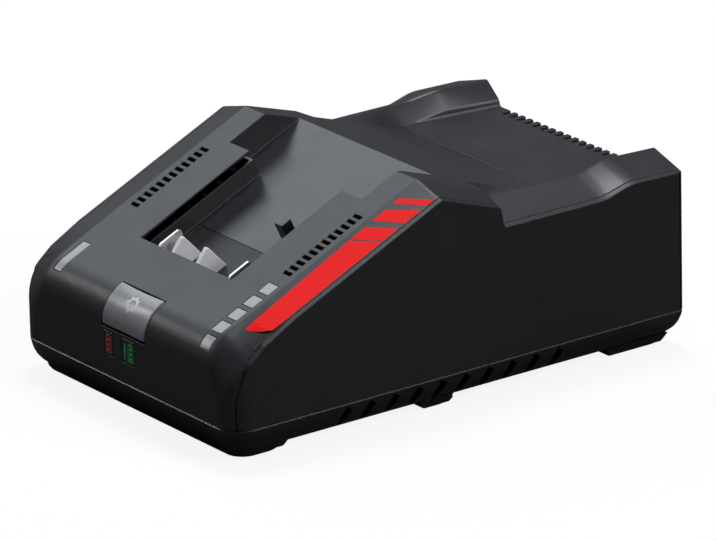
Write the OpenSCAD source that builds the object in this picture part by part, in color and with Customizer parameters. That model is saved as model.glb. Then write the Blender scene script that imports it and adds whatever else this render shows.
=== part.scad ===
// Wedge-shaped battery charger with a sloped slide-in bay, a cooling fan and a nose button.
// X is across, Y runs from the nose to the rear wall, Z is up; the origin is under the middle.

/* [Body] */
// Overall width across the side panels
body_w = 128; // [124:1:156]
// Overall length from the nose to the rear wall
body_l = 192; // [188:1:232]
// Height of the crest above the table
crest_h = 80.4; // [79:0.1:98]
// Distance of the crest behind the nose
crest_back = 88.5; // [86:0.5:96]
// Slope of the deck
deck_angle = 24.6; // [22:0.1:26]
// Radius that blends the deck into the nose, and of the front corners in plan
nose_r = 14; // [11.5:0.5:17]
// Radius of the rear corners in plan
corner_rear = 1.6; // [1.4:0.1:2.4]
// Height of the seam between the housings
seam_z = 13; // [12.4:0.1:15.6]
// Height of the tray's underside above the table
base_z = 4; // [3.4:0.1:4.8]
// Wall thickness of the housings
wall = 2.4; // [2:0.1:2.9]
// Thickness of the side panels
panel_t = 1.8; // [1.5:0.1:2.2]
// Gap left along seams between covers
seam_gap = 0.2; // [0.1:0.05:0.3]

/* [Roof] */
// Drop from the crest to the rear deck
rear_drop = 20.3; // [17:0.1:24.5]
// Run of the slope behind the crest
rear_run = 62; // [52:0.5:74]
// Half width at the deck's side crease
crease_x = 50; // [48:0.5:52]
// Fall of the side chamfer at the crest
chamfer_drop = 3.8; // [3.2:0.1:4.5]
// Fall of the side chamfer at the front face
nose_drop = 6; // [5:0.5:8]
// Distance of the side saddle behind the crest
saddle_back = 25.5; // [21:0.5:30]
// Length of the saddle
saddle_l = 44.5; // [38:0.5:52]
// Height of the saddle's outer edge above the rear deck
saddle_rise = 0.7; // [0.5:0.1:1]
// Height of the saddle's ridge above the rear deck
ridge_rise = 7.2; // [6:0.1:8.5]
// Height of the horn's ridge above the rear deck
horn_rise = 9.3; // [8:0.1:11]
// Height of the horn's outer edge above the rear deck
horn_edge_rise = 4; // [3.4:0.1:4.8]
// Length of the ramp from the saddle to the horn
ramp_l = 11.3; // [9.5:0.1:13.5]

/* [Battery bay] */
// Width between the rail plates
bay_w = 54; // [50:0.5:56]
// Width of the grooves and of the entry, from side to side
groove_w = 77.2; // [74:0.2:80]
// Depth of the bay floor below the deck
bay_depth = 10.6; // [9:0.1:12]
// Length of the rail plates
rail_l = 51; // [46:0.5:58]
// Distance of the rail plates' rear end in front of the crest
entry_l = 16.8; // [14:0.2:20]
// Thickness of the rail plates
rail_t = 1.5; // [1.3:0.1:1.8]
// Height of the grooves
groove_h = 2.5; // [2.2:0.1:3]
// Thickness of the bay's walls and floor
bay_wall = 2.2; // [1.9:0.1:2.6]
// Number of air slots in each groove
groove_slots = 7; // [4:1:8]
// Pitch of the air slots in a groove
groove_slot_pitch = 7.1; // [6:0.1:7.2]

/* [Vents] */
// Number of deck slots on each side
deck_slots = 12; // [8:1:14]
// Pitch of the deck slots
deck_slot_pitch = 2.95; // [2.5:0.05:3.2]
// Number of slots on each side of the tray
tray_slots = 10; // [6:1:11]
// Pitch of the tray slots
tray_slot_pitch = 10; // [8.5:0.1:10.2]
// Number of slots in the rear wall
rear_slots = 16; // [10:1:18]
// Pitch of the rear slots
rear_slot_pitch = 4.4; // [3.8:0.1:4.6]

/* [Button and lights] */
// Width of the mode button
button_w = 24.8; // [20:0.2:29]
// Travel of the mode button
button_travel = 0.5; // [0.4:0.05:0.6]
// Travel of the switch plunger
plunger_travel = 0.25; // [0.2:0.05:0.3]
// Gap round the mode button
button_gap = 0.8; // [0.7:0.05:1]
// Width of a charge level window
level_w = 5.4; // [4.6:0.1:6.2]
// Pitch of the charge level windows
level_pitch = 7.2; // [6.4:0.1:7.6]
// Distance of the light windows from the middle
light_x = 45; // [43:0.5:46]

/* [Fan and cord inlet] */
// Size of the fan frame
fan_size = 40; // [36:1:44]
// Depth of the fan frame
fan_t = 20; // [15:1:21]
// Radius of the fan shaft
shaft_r = 1.5; // [1.2:0.1:2]
// Running clearance of the fan shaft in its bush
shaft_clearance = 0.05; // [0.03:0.01:0.08]
// Distance of the cord gland from the middle
gland_x = 36; // [34:0.5:40]
// Bore radius of the cord gland
gland_bore_r = 3.7; // [3:0.1:4.2]

/* [Fasteners] */
// Radius of the housing screws
screw_r = 1.45; // [1.2:0.05:1.7]
// Radius of the board screws
board_screw_r = 1.25; // [1:0.05:1.4]
// Radial clearance of the screws in their holes
screw_clearance = 0.08; // [0.05:0.01:0.12]

/* [Hidden] */
eps = 0.01;
over = 6;

// Places along the length
front_y = -body_l / 2;
rear_y = body_l / 2;
crest_y = front_y + crest_back;
deck_rear_y = crest_y + rear_run;
saddle_y = crest_y + saddle_back;
ramp_y = saddle_y + saddle_l;
horn_y = ramp_y + ramp_l;
rear_deck_z = crest_h - rear_drop;
rear_angle = atan(rear_drop / rear_run);

// The nose blend: its centre, its tangent point and its arc length
corner_front = nose_r;
nose_cut = nose_r * tan((90 - deck_angle) / 2);
nose_cy = front_y + nose_r;
nose_cz = crest_h - crest_back * tan(deck_angle) - nose_cut;
nose_arc = nose_r * (90 - deck_angle) * PI / 180;

// Colours
black = [0.09, 0.09, 0.1];
anthracite = [0.27, 0.28, 0.3];
silver = [0.78, 0.78, 0.8];
clear_grey = [0.75, 0.76, 0.78];

// Height of the middle of the roof at y, with the surface drawn in by t
function deck_line(y, t) = crest_h - (crest_y - y) * tan(deck_angle) - t / cos(deck_angle);
function slope_line(y, t) = crest_h - (y - crest_y) * tan(rear_angle) - t / cos(rear_angle);
function nose_line(y, t) = nose_cz + sqrt(max(0, pow(nose_r - t, 2) - pow(y - nose_cy, 2)));
function roof_z(y, t) = y < nose_cy - (nose_r - t) * sin(deck_angle) ? nose_line(y, t)
    : min(deck_line(y, t), max(slope_line(y, t), rear_deck_z - t));

// Half width of the plan outline at y, drawn in by t
function corner_cut(r, u) = u <= 0 || r <= 0 ? 0 : r - sqrt(max(0, r * r - u * u));
function plan_x(y, t) = body_w / 2 - t - corner_cut(corner_front - t, front_y + corner_front - y)
    - corner_cut(corner_rear - t, y - rear_y + corner_rear);

// Side crease or ridge, outer edge and inner foot of the ridge at y
step_l = 0.8;
function ridge_x(y) = lookup(y, [[crest_y, crease_x], [saddle_y, crease_x + 5],
    [saddle_y + step_l, crease_x], [ramp_y, crease_x], [horn_y, crease_x - 2.2]]);
function ridge_drop(y) = lookup(y, [[crest_y, 0], [saddle_y, 0.6]]);
function ridge_z(y, t) = y <= saddle_y ? roof_z(y, t) - ridge_drop(y)
    : rear_deck_z - t + lookup(y, [[ramp_y, ridge_rise], [horn_y, horn_rise], [rear_y, horn_rise - 1.1]]);
function edge_drop(y) = lookup(y, [[front_y, nose_drop], [nose_cy + 3, chamfer_drop - 0.4],
    [crest_y, chamfer_drop], [saddle_y, chamfer_drop + 0.4]]);
function edge_z(y, t) = y <= saddle_y ? roof_z(y, t) - edge_drop(y)
    : rear_deck_z - t + lookup(y, [[ramp_y, saddle_rise], [horn_y, horn_edge_rise], [rear_y, horn_edge_rise - 0.5]]);
function foot_x(y) = lookup(y, [[ramp_y, crease_x - 6], [rear_y, crease_x - 9.8]]);
function foot_top_z(y, t) = y <= ramp_y ? roof_z(y, t)
    : rear_deck_z - t + lookup(y, [[ramp_y, 0], [horn_y, 4.6], [rear_y, 4.3]]);

// Stations along the length, from the drawn-in nose to the drawn-in rear wall
slope_steps = 5;
function stations(t) =
    let (slope_y = saddle_y + step_l, reach = deck_rear_y - slope_y,
         all = concat(
            [for (i = [0 : 8]) nose_cy - (nose_r - t) * cos(i * (90 - deck_angle) / 8)],
            [crest_y - rear_run / 2, crest_y, saddle_y],
            [for (i = [0 : slope_steps]) slope_y + reach * i / slope_steps],
            [ramp_y, ramp_y + ramp_l / 2, horn_y, rear_y - corner_rear],
            [for (a = [30, 60]) rear_y - corner_rear + (corner_rear - t) * sin(a)]))
    concat([for (y = all) if (y < rear_y - t - 0.05) y], [rear_y - t]);

// Cross-section of the body at y: drawn in by t on the roof and by ts at the sides
function half_section(y, t, ts, z0) =
    let (w = plan_x(y, ts), c = min(ridge_x(y), w - 1.6), f = min(foot_x(y), c - 1.6))
    [[w, z0], [w, edge_z(y, t)], [c, ridge_z(y, t)], [f + 0.4, foot_top_z(y, t)], [f, roof_z(y, t)]];
function section(y, t, ts, z0) =
    let (h = half_section(y, t, ts, z0), n = len(h))
    concat([for (p = h) [p[0], y, p[1]]], [for (i = [n - 1 : -1 : 0]) [-h[i][0], y, h[i][1]]]);

// Joins rings of points into one solid; each ring turns clockwise seen from the next one.
// A ring that isn't convex gives its end faces in cap, as corners of the ring
module loft(rings, cap = []) {
    n = len(rings[0]);
    ends = len(cap) > 0 ? cap : [[for (j = [0 : n - 1]) j]];
    m = len(rings);
    points = [for (r = rings) for (p = r) p];
    sides = [for (i = [0 : m - 2]) for (j = [0 : n - 1])
        let (a = i * n + j, b = i * n + (j + 1) % n)
        for (f = [[a, b, b + n], [a, b + n, a + n]]) f];
    first = [for (f = ends) [for (j = [len(f) - 1 : -1 : 0]) f[j]]];
    last = [for (f = ends) [for (j = f) (m - 1) * n + j]];
    polyhedron(points, concat(sides, first, last), convexity = 8);
}

body_cap = [[0, 1, 4], [0, 4, 5], [0, 5, 9], [5, 8, 9], [1, 2, 3], [1, 3, 4], [5, 6, 7], [5, 7, 8]];
module body_loft(t, ts, z0) {
    loft([for (y = stations(t)) section(y, t, ts, z0)], body_cap);
}

// The slope frame: origin at the crest, y up the deck and z square to it
module on_deck() {
    translate([0, crest_y, crest_h]) rotate([deck_angle, 0, 0]) children();
}

// A box in the slope frame, from its low corner to its high corner
module span(a, b) {
    translate(a) cube(b - a);
}

// An outline in the Y-Z plane, extruded across X from x0 to x1
module across(x0, x1) {
    translate([x0, 0, 0]) rotate([90, 0, 90]) linear_extrude(x1 - x0) children();
}

module both_sides() {
    children();
    mirror([1, 0, 0]) children();
}

// A point on the nose and deck at arc length u from the foot of the blend, t below the skin
function skin(u, t) = u <= 0 ? [front_y + t, nose_cz + u]
    : u <= nose_arc ? let (a = u / nose_r * 180 / PI)
        [nose_cy - (nose_r - t) * cos(a), nose_cz + (nose_r - t) * sin(a)]
    : let (k = u - nose_arc, a = 90 - deck_angle)
        [nose_cy - (nose_r - t) * cos(a) + k * cos(deck_angle),
         nose_cz + (nose_r - t) * sin(a) + k * sin(deck_angle)];
skin_steps = 10;
module skin_patch(u0, u1, t0, t1) {
    polygon(concat(
        [for (i = [0 : skin_steps]) skin(u0 + (u1 - u0) * i / skin_steps, t0)],
        [for (i = [skin_steps : -1 : 0]) skin(u0 + (u1 - u0) * i / skin_steps, t1)]));
}

// Battery bay, in the slope frame
rail_rear = -entry_l;
bay_front = rail_rear - rail_l;
groove_floor = rail_t + groove_h;
floor_run = bay_depth / tan(deck_angle + rear_angle);
ledge_t = 2;

// Side panels
panel_in = panel_t + seam_gap;
panel_front = front_y + 3;
panel_rear = rear_y - 1.6;
panel_arc_r = 16;
panel_top_z = nose_cz + nose_r * 0.62;

// Tray walls and slots
tray_wall = 3.2;
tray_slot_w = 2.2;

// Housing screws, board posts and rubber feet
screw_x = body_w / 2 - panel_in - wall - 4.2;
screw_places = [for (sx = [-1, 1]) for (y = [front_y + 30, front_y + 100, rear_y - 34]) [sx * screw_x, y]];
boss_r = 4.6;
boss_top = seam_z + 21;
head_r = 2.9;
head_h = 2.4;
tray_floor = base_z + wall;
head_seat = tray_floor + 2;
screw_l = 18;
board_bottom = tray_floor + 4.6;
board_t = 1.6;
board_top = board_bottom + board_t;
board_w = body_w - 24;
board_front = front_y + 12;
board_rear = rear_y - 34;
post_places = [for (x = [-46, 46]) for (y = [board_front + 24, board_rear - 22]) [x, y]];
post_r = 3.4;
board_head_h = 1.6;
foot_depth = 1;
land_z = 1.2;
// Each foot: centre x, centre y, width, length
feet = [for (sx = [-1, 1]) for (f = [[50, front_y + 17, 11, 13], [53.5, front_y + 88, 8, 8],
    [52, rear_y - 18, 11, 20]]) [sx * f[0], f[1], f[2], f[3]]];

// Fan, baffle and gland
fan_rear = rear_y - tray_wall - 2;
fan_front = fan_rear - fan_t;
fan_z = tray_floor + 2.6 + fan_size / 2;
fan_mouth_r = fan_size / 2 - 1.2;
fan_hub_r = 11.5;
fan_blades = 7;
bush_r = 4;
gland_r = 6.2;
gland_collar_r = 7.6;
gland_collar_t = 2;
gland_collar_y = 3.1;
gland_l = 6.5;
gland_z = seam_z;

// Display board, in the slope frame
display_top = -9;
display_t = 1.2;
display_rear = bay_front - bay_wall - 1;
display_front = display_rear - 23.5;
switch_y = display_front + 4.5;
switch_base_h = 2.2;
plunger_h = 1.4;
level_u0 = nose_arc + 1.4 - level_pitch;
level_l = 5.2;
pipe_u = [10.5, 25.4];
pipe_w = 4;
button_u = [0.4, 16.9];
button_t = 2;
led_h = 1;
window_z = nose_cz - 6;
window_h = 8.6;
red_x = -9;
green_x = 2.6;

// Plan outline drawn in by t, as a ring of points at height z
function tray_outline(t, z) =
    let (w = body_w / 2 - t, r = max(corner_rear - t, 0.4), q = max(corner_front - t, 0.4),
         back = rear_y - t - r, nose = front_y + t + q)
    concat([for (a = [0 : 15 : 90]) [w - r + r * cos(a), back + r * sin(a), z]],
           [for (a = [90 : 15 : 180]) [r - w + r * cos(a), back + r * sin(a), z]],
           [for (a = [180 : 10 : 270]) [q - w + q * cos(a), nose + q * sin(a), z]],
           [for (a = [270 : 10 : 360]) [w - q + q * cos(a), nose + q * sin(a), z]]);

// Tray below the seam, with foot lands, slanted side slots, screw posts and board posts
module lower_housing() {
    color(black) difference() {
        union() {
            difference() {
                loft([tray_outline(0, seam_z), tray_outline(1.6, base_z + 3), tray_outline(4.2, base_z)]);
                loft([tray_outline(tray_wall, seam_z + 1), tray_outline(1.6 + tray_wall, base_z + 4.2),
                      tray_outline(4.2 + 2, tray_floor)]);
            }
            front_plinth();
            for (f = feet)
                translate([f[0] - f[2] / 2 - 1.5, f[1] - f[3] / 2 - 1.5, land_z])
                    cube([f[2] + 3, f[3] + 3, base_z - land_z + 0.5]);
            for (p = screw_places)
                translate([p[0], p[1], base_z + 0.5]) cylinder(h = seam_z - base_z - 0.5, r = boss_r, $fn = 40);
            for (p = post_places)
                translate([p[0], p[1], base_z + 0.5])
                    cylinder(h = board_bottom - base_z - 0.5, r = post_r, $fn = 32);
            fan_seat();
        }
        for (f = feet)
            translate([f[0] - f[2] / 2 - 0.1, f[1] - f[3] / 2 - 0.1, land_z - over])
                cube([f[2] + 0.2, f[3] + 0.2, over + foot_depth]);
        for (p = screw_places) {
            translate([p[0], p[1], -over]) cylinder(h = head_seat + over, r = head_r + 0.4, $fn = 40);
            translate([p[0], p[1], 0]) cylinder(h = seam_z + over, r = screw_r + screw_clearance, $fn = 32);
        }
        for (p = post_places)
            translate([p[0], p[1], tray_floor]) cylinder(h = over, r = board_screw_r + screw_clearance, $fn = 32);
        both_sides() for (i = [0 : tray_slots - 1])
            translate([body_w / 2 - 5.5, front_y + 46 + i * tray_slot_pitch, base_z + 3.4])
                rotate([-32, 0, 0]) translate([0, -tray_slot_w / 2, -4.2])
                    cube([over + 2, tray_slot_w, 8.4]);
        gland_hole(gland_r, -over);
        gland_hole(gland_collar_r, gland_collar_y);
    }
}

// Deeper nose of the tray that carries the front feet
module front_plinth() {
    intersection() {
        loft([tray_outline(4.4, base_z + 0.3), tray_outline(5.8, land_z)]);
        translate([-body_w / 2, front_y, 0]) cube([body_w, 26, base_z + 1]);
    }
}

// Seat rib and side guides that hold the fan frame upright
guide_t = 2;
module fan_seat() {
    translate([-fan_size / 2 - guide_t, fan_front - guide_t, base_z + 0.5])
        cube([fan_size + 2 * guide_t, fan_t - 1, fan_z - fan_size / 2 - base_z - 0.5]);
    both_sides() translate([fan_size / 2 + 0.2, fan_front - guide_t, base_z + 0.5])
        cube([guide_t, fan_t - 1, fan_z - base_z - 8]);
}

// Clearance for the gland: radius r, from y0 inside the rear face inwards
module gland_hole(r, y0) {
    translate([gland_x, rear_y - y0 + 0.1, gland_z]) rotate([90, 0, 0])
        cylinder(h = gland_l + over - y0, r = r + 0.1, $fn = 48);
}

// The zone of a side panel: outline in the side view, grown by g
module panel_outline(g) {
    low = seam_z + seam_gap - g;
    polygon(concat(
        [[panel_rear + g, low], [panel_rear + g, crest_h + 1], [panel_front + panel_arc_r, crest_h + 1]],
        [for (a = [100 : 10 : 180]) [panel_front + panel_arc_r + (panel_arc_r + g) * cos(a),
            panel_top_z - panel_arc_r + (panel_arc_r + g) * sin(a)]],
        [[panel_front - g, low]]));
}

// A strip of side wall between two insets, up to the outer edge
module panel_strip(t_out, t_in, rise) {
    loft([for (y = stations(0)) if (y > front_y + eps && y < rear_y - eps) let (xo = plan_x(y, t_out), xi = plan_x(y, t_in), z = edge_z(y, 0) + rise)
        [[xo, y, seam_z - 1], [xo, y, z], [xi, y, z], [xi, y, seam_z - 1]]]);
}

module side_panel(g = 0) {
    intersection() {
        panel_strip(-g, panel_t + g, g > 0 ? over : 0);
        across(body_w / 4, body_w / 2 + over) panel_outline(g);
    }
}
module side_panel_right() { color(black) side_panel(); }
module side_panel_left() { color(black) mirror([1, 0, 0]) side_panel(); }

// Bay walls and floor under the deck, in the slope frame
bay_out = bay_depth + bay_wall;
floor_end = floor_run - 2;
module bay_tub() {
    hw = bay_w / 2;
    gw = groove_w / 2;
    both_sides() {
        // channel wall, groove ledge and outer groove wall
        span([hw, bay_front - bay_wall, -bay_out], [hw + bay_wall, rail_rear + 1, -groove_floor]);
        span([hw, bay_front - bay_wall, -groove_floor - ledge_t],
             [gw + bay_wall, rail_rear + 1, -groove_floor]);
        span([gw, bay_front - bay_wall, -groove_floor - ledge_t], [gw + bay_wall, rail_rear + 1, -1.2]);
        // deeper wall beside the entry, cut back under the rear slope
        rotate([90, 0, 90]) translate([0, 0, gw]) linear_extrude(bay_wall)
            polygon([[rail_rear - 1, -1.2], [-1, -1.2], [floor_end, -bay_depth], [floor_end, -bay_out],
                     [rail_rear - 1, -bay_out]]);
        span([hw, rail_rear - bay_wall + 1, -bay_out], [gw + bay_wall, rail_rear + 1, -groove_floor]);
    }
    span([-hw - bay_wall, bay_front - bay_wall, -bay_out], [hw + bay_wall, rail_rear, -bay_depth]);
    span([-gw - bay_wall, rail_rear - bay_wall, -bay_out], [gw + bay_wall, floor_end, -bay_depth]);
    span([-gw - bay_wall, bay_front - bay_wall, -bay_out], [gw + bay_wall, bay_front, -1.2]);
}

carrier_w = 50;
carrier_l = 19.6;
carrier_front = bay_front + 1.8;
module bay_cut() {
    hw = bay_w / 2;
    gw = groove_w / 2;
    back = floor_run + over;
    span([-hw, bay_front, -bay_depth], [hw, back, over]);
    span([-gw, rail_rear, -bay_depth], [gw, back, over]);
    both_sides() {
        span([hw - 1, bay_front, -groove_floor], [gw, rail_rear + 1, -rail_t]);
        for (i = [0 : groove_slots - 1])
            translate([hw + 2.4, rail_rear - 6.6 - i * groove_slot_pitch, -groove_floor - ledge_t - 1])
                cube([4.6, groove_slot_pitch - 1.5, ledge_t + 2]);
    }
    span([-carrier_w / 2 - 0.2, carrier_front - 0.2, -bay_out - 1],
         [carrier_w / 2 + 0.2, carrier_front + carrier_l + 0.2, -bay_depth + 1]);
}

// Deck, nose, roof and rear wall in one shell, with the bay, bosses, pegs and vents
key_w = 4.2;
key_l = 3.8;
key_h = 3.4;
key_x = 12.4;
key_y = bay_front + 30.6;
deck_slot_w = 1.5;
deck_slot_l = 4.4;
peg_x = 30;
peg_y = display_rear - 5;
module upper_housing() {
    color(anthracite) difference() {
        union() {
            difference() {
                body_loft(0, 0, seam_z);
                body_loft(wall, panel_in + wall, seam_z - 1);
                both_sides() side_panel(seam_gap);
            }
            on_deck() {
                bay_tub();
                span([key_x, key_y, -bay_depth - 0.5], [key_x + key_w, key_y + key_l, -bay_depth + key_h]);
                both_sides() translate([peg_x, peg_y, display_top]) cylinder(h = -display_top - 1, r = 3, $fn = 32);
            }
            for (p = screw_places)
                translate([p[0], p[1], seam_z]) cylinder(h = boss_top - seam_z, r = boss_r, $fn = 40);
        }
        on_deck() {
            difference() {
                bay_cut();
                span([key_x, key_y, -bay_depth - 0.5], [key_x + key_w, key_y + key_l, -bay_depth + key_h]);
            }
            both_sides() {
                for (i = [0 : deck_slots - 1])
                    translate([light_x - deck_slot_l / 2, bay_front + 10.5 + i * deck_slot_pitch, -wall - 2])
                        cube([deck_slot_l, deck_slot_w, over + wall]);
                translate([peg_x, peg_y, display_top - 1]) cylinder(h = 6, r = board_screw_r + screw_clearance, $fn = 32);
            }
        }
        for (p = screw_places)
            translate([p[0], p[1], seam_z - 1])
                cylinder(h = screw_l - seam_z + head_seat + 3, r = screw_r + screw_clearance, $fn = 32);
        for (i = [0 : rear_slots - 1])
            translate([(i - (rear_slots - 1) / 2) * rear_slot_pitch - 1, rear_y - wall - 2, seam_z + 12])
                cube([2, wall + over, rear_deck_z - seam_z - 12 + over]);
        across(-button_w / 2 - button_gap / 2, button_w / 2 + button_gap / 2)
            skin_patch(button_u[0] - button_gap, button_u[1] + button_gap / 2, -over, wall + 2);
        for (i = [0 : 4])
            across(light_x - level_w / 2 - 0.1, light_x + level_w / 2 + 0.1)
                skin_patch(level_u(i) - level_l / 2 - 0.1, level_u(i) + level_l / 2 + 0.1, -over, wall + 2);
        across(-light_x - pipe_w / 2 - 0.1, -light_x + pipe_w / 2 + 0.1)
            skin_patch(pipe_u[0] - 0.1, pipe_u[1] + 0.1, -over, wall + 2);
        for (w = [[red_x, 5], [green_x, 7]])
            translate([w[0] - w[1] / 2 - 0.1, front_y - over, window_z - window_h / 2 - 0.1])
                cube([w[1] + 0.2, over + wall + 2, window_h + 0.2]);
        gland_hole(gland_r, -over);
    }
}
function level_u(i) = level_u0 + i * level_pitch;

// Button skin over the nose blend, with ears behind the wall and a nub over the switch
nub_r = 2.2;
nub_z = display_top + switch_base_h + plunger_h + button_travel - plunger_travel + 0.05;
ear_gap = 0.3;
ear_t = 1.2;
module mode_button() {
    color(clear_grey) union() {
        intersection() {
            across(-button_w / 2, button_w / 2) skin_patch(button_u[0], button_u[1], -0.4, button_t);
            translate([-button_w / 2, front_y, 0]) cube([button_w, body_l, crest_h]);
        }
        across(-button_w / 2 + 1.6, button_w / 2 - 1.6)
            skin_patch(button_u[0] + 3, button_u[1] - 3, button_t - 0.1, wall + ear_gap + ear_t);
        across(-button_w / 2 - 2, button_w / 2 + 2)
            skin_patch(button_u[0] + 4, button_u[1] - 4, wall + ear_gap, wall + ear_gap + ear_t);
        on_deck() translate([0, switch_y, nub_z]) cylinder(h = -wall - ear_gap - nub_z, r = nub_r, $fn = 32);
    }
}

module switch_plunger() {
    color(silver) on_deck() translate([0, switch_y, display_top + switch_base_h - 0.9])
        cylinder(h = plunger_h + 0.9, r = 1.6, $fn = 32);
}

// Square switch body with a well for the plunger
module tact_switch() {
    color(black) on_deck() difference() {
        translate([-3, switch_y - 3, display_top]) cube([6, 6, switch_base_h]);
        translate([0, switch_y, display_top + switch_base_h - 0.9 - plunger_travel - 0.05])
            cylinder(h = over, r = 1.6 + 0.05, $fn = 32);
    }
}

// Clear heads in the deck windows, joined by a bar under the skin
module level_light_pipe() {
    color(clear_grey) union() {
        for (i = [0 : 4]) across(light_x - level_w / 2, light_x + level_w / 2)
            skin_patch(level_u(i) - level_l / 2, level_u(i) + level_l / 2, 0, wall + 1);
        across(light_x - level_w / 2 - 0.8, light_x + level_w / 2 + 0.8)
            skin_patch(level_u(0) - level_l / 2 - 1, level_u(4) + level_l / 2 + 1, wall + 0.2, wall + 2);
    }
}

module alert_light_pipe() {
    color(clear_grey) union() {
        across(-light_x - pipe_w / 2, -light_x + pipe_w / 2) skin_patch(pipe_u[0], pipe_u[1], 0, wall + 1);
        across(-light_x - pipe_w / 2 - 0.8, -light_x + pipe_w / 2 + 0.8)
            skin_patch(pipe_u[0] - 1, pipe_u[1] + 1, wall + 0.2, wall + 2);
    }
}

// Front face window with a flange behind the wall
module indicator_window(x, w) {
    translate([x - w / 2, front_y, window_z - window_h / 2]) cube([w, wall + 0.8, window_h]);
    translate([x - w / 2 - 0.8, front_y + wall + 0.1, window_z - window_h / 2 - 0.8])
        cube([w + 1.6, 1.4, window_h + 1.6]);
}
module red_window() { color([0.8, 0.1, 0.1]) indicator_window(red_x, 5); }
module green_window() { color([0.1, 0.6, 0.2]) indicator_window(green_x, 7); }

display_w = body_w - 26;
module display_board() {
    color([0.1, 0.35, 0.2]) on_deck() difference() {
        span([-display_w / 2, display_front, display_top - display_t], [display_w / 2, display_rear, display_top]);
        both_sides() translate([peg_x, peg_y, display_top - over])
            cylinder(h = 2 * over, r = board_screw_r + screw_clearance, $fn = 32);
    }
}

// Light chips on the display board, under the windows and facing the front face
module display_leds() {
    color([0.95, 0.95, 0.85]) on_deck() {
        for (i = [0 : 3]) translate([light_x - 1.5, display_rear - 3 - i * 6, display_top]) cube([3, 2, led_h]);
        for (i = [0 : 1]) translate([-light_x - 1.5, display_rear - 7 - i * 9, display_top]) cube([3, 2, led_h]);
        for (x = [red_x, green_x])
            translate([x - 1.5, display_front + 1, display_top - display_t - led_h]) cube([3, 2, led_h]);
    }
}

// Contact carrier under the bay floor, with slots that the outer contacts pass through
contact_t = 1;
contact_x = [-17.5, 23.7];
contact_y = [bay_front + 0.6, bay_front + 10.4];
contact_gap = 0.05;
carrier_flange = 2.6;
module contact_carrier() {
    color(anthracite) on_deck() difference() {
        union() {
            span([-carrier_w / 2, carrier_front, -bay_out - 0.5],
                 [carrier_w / 2, carrier_front + carrier_l, -bay_depth]);
            span([-carrier_w / 2 - 2, carrier_front - 1.5, -bay_out - carrier_flange],
                 [carrier_w / 2 + 2, carrier_front + carrier_l + 2, -bay_out]);
        }
        for (x = contact_x)
            span([x - contact_t / 2 - contact_gap, carrier_front + 1, -bay_out - over],
                 [x + contact_t / 2 + contact_gap, contact_y[1] + 0.1, -bay_depth + 1]);
    }
}

// Each outer contact: a thin blade in the bay and a tail down to the main board
module outer_contacts() {
    tip = [for (p = [[carrier_front + 1.1, -bay_out - 4], [carrier_front + 1.1, -0.3],
                     [contact_y[1] - 0.6, -0.3], [contact_y[1], -2], [contact_y[1], -bay_out - 4]])
        deck_point(p)];
    tail_y = tip[0][0] + 2.5;
    color(silver) for (x = contact_x) {
        across(x - contact_t / 2, x + contact_t / 2) polygon(tip);
        across(x - contact_t / 2, x + contact_t / 2)
            polygon([[tail_y, board_top], [tail_y + 3, board_top], [tail_y + 3, tip[0][1] + 2.4],
                     [tail_y, tip[0][1] + 2.4]]);
    }
}
// A point of the slope frame, given in the Y-Z plane
function deck_point(p) = [crest_y + p[0] * cos(deck_angle) - p[1] * sin(deck_angle),
                          crest_h + p[0] * sin(deck_angle) + p[1] * cos(deck_angle)];

fin_x = [-12.4, 2];
fin_t = 2.2;
module guide_fins() {
    color([0.85, 0.85, 0.87]) on_deck() for (x = fin_x)
        rotate([90, 0, 90]) translate([0, 0, x - fin_t / 2]) linear_extrude(fin_t)
            polygon([[carrier_front, -bay_depth], [carrier_front, -0.4], [contact_y[1] - 1, -0.4],
                     [contact_y[1] - 0.2, -2], [contact_y[1] - 0.2, -bay_depth]]);
}

// Flat link from the main board up to the display board
link_y = board_front + 8;
module board_link() {
    color([0.85, 0.85, 0.8]) across(16, 26)
        polygon([[link_y, board_top], [link_y + 0.6, board_top],
                 [link_y + 0.6, deck_line(link_y + 0.6, display_t - display_top)],
                 [link_y, deck_line(link_y, display_t - display_top)]]);
}

// Main board with screw holes over the four posts
module main_board() {
    color([0.12, 0.4, 0.22]) difference() {
        translate([-board_w / 2, board_front, board_bottom]) cube([board_w, board_rear - board_front, board_t]);
        for (p = post_places)
            translate([p[0], p[1], 0]) cylinder(h = seam_z + over, r = board_screw_r + screw_clearance, $fn = 32);
        for (p = screw_places)
            translate([p[0], p[1], 0]) cylinder(h = seam_z + over, r = boss_r + 0.6, $fn = 40);
    }
}

sheet_t = 0.5;
module insulating_sheet() {
    color([0.85, 0.82, 0.6]) translate([-34, board_front + 12, tray_floor])
        cube([68, board_rear - board_front - 30, sheet_t]);
}

// Transformer: ferrite frame, bobbin and taped winding round the middle leg
core_w = 42;
core_d = 14;
core_h = 33;
core_x = -4;
core_y = 14;
leg_w = 12;
leg_t = 6;
window_w = (core_w - leg_w) / 2 - leg_t;
core_z = board_top + 3;
bobbin_t = 0.8;
bobbin_gap = 0.15;
module transformer_core() {
    color([0.2, 0.2, 0.22]) translate([core_x, core_y - core_d / 2, core_z]) difference() {
        translate([-core_w / 2, 0, 0]) cube([core_w, core_d, core_h]);
        both_sides() translate([leg_w / 2, -1, leg_t]) cube([window_w, core_d + 2, core_h - 2 * leg_t]);
    }
}
module leg_ring(out, inner, z0, z1) {
    difference() {
        translate([-leg_w / 2 - out, -core_d / 2 - out, z0]) cube([leg_w + 2 * out, core_d + 2 * out, z1 - z0]);
        translate([-leg_w / 2 - inner, -core_d / 2 - inner, z0 - 1])
            cube([leg_w + 2 * inner, core_d + 2 * inner, z1 - z0 + 2]);
    }
}
winding_out = window_w - 0.5;
winding_z0 = leg_t + 1.4;
winding_z1 = core_h - leg_t - 1.4;
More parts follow.
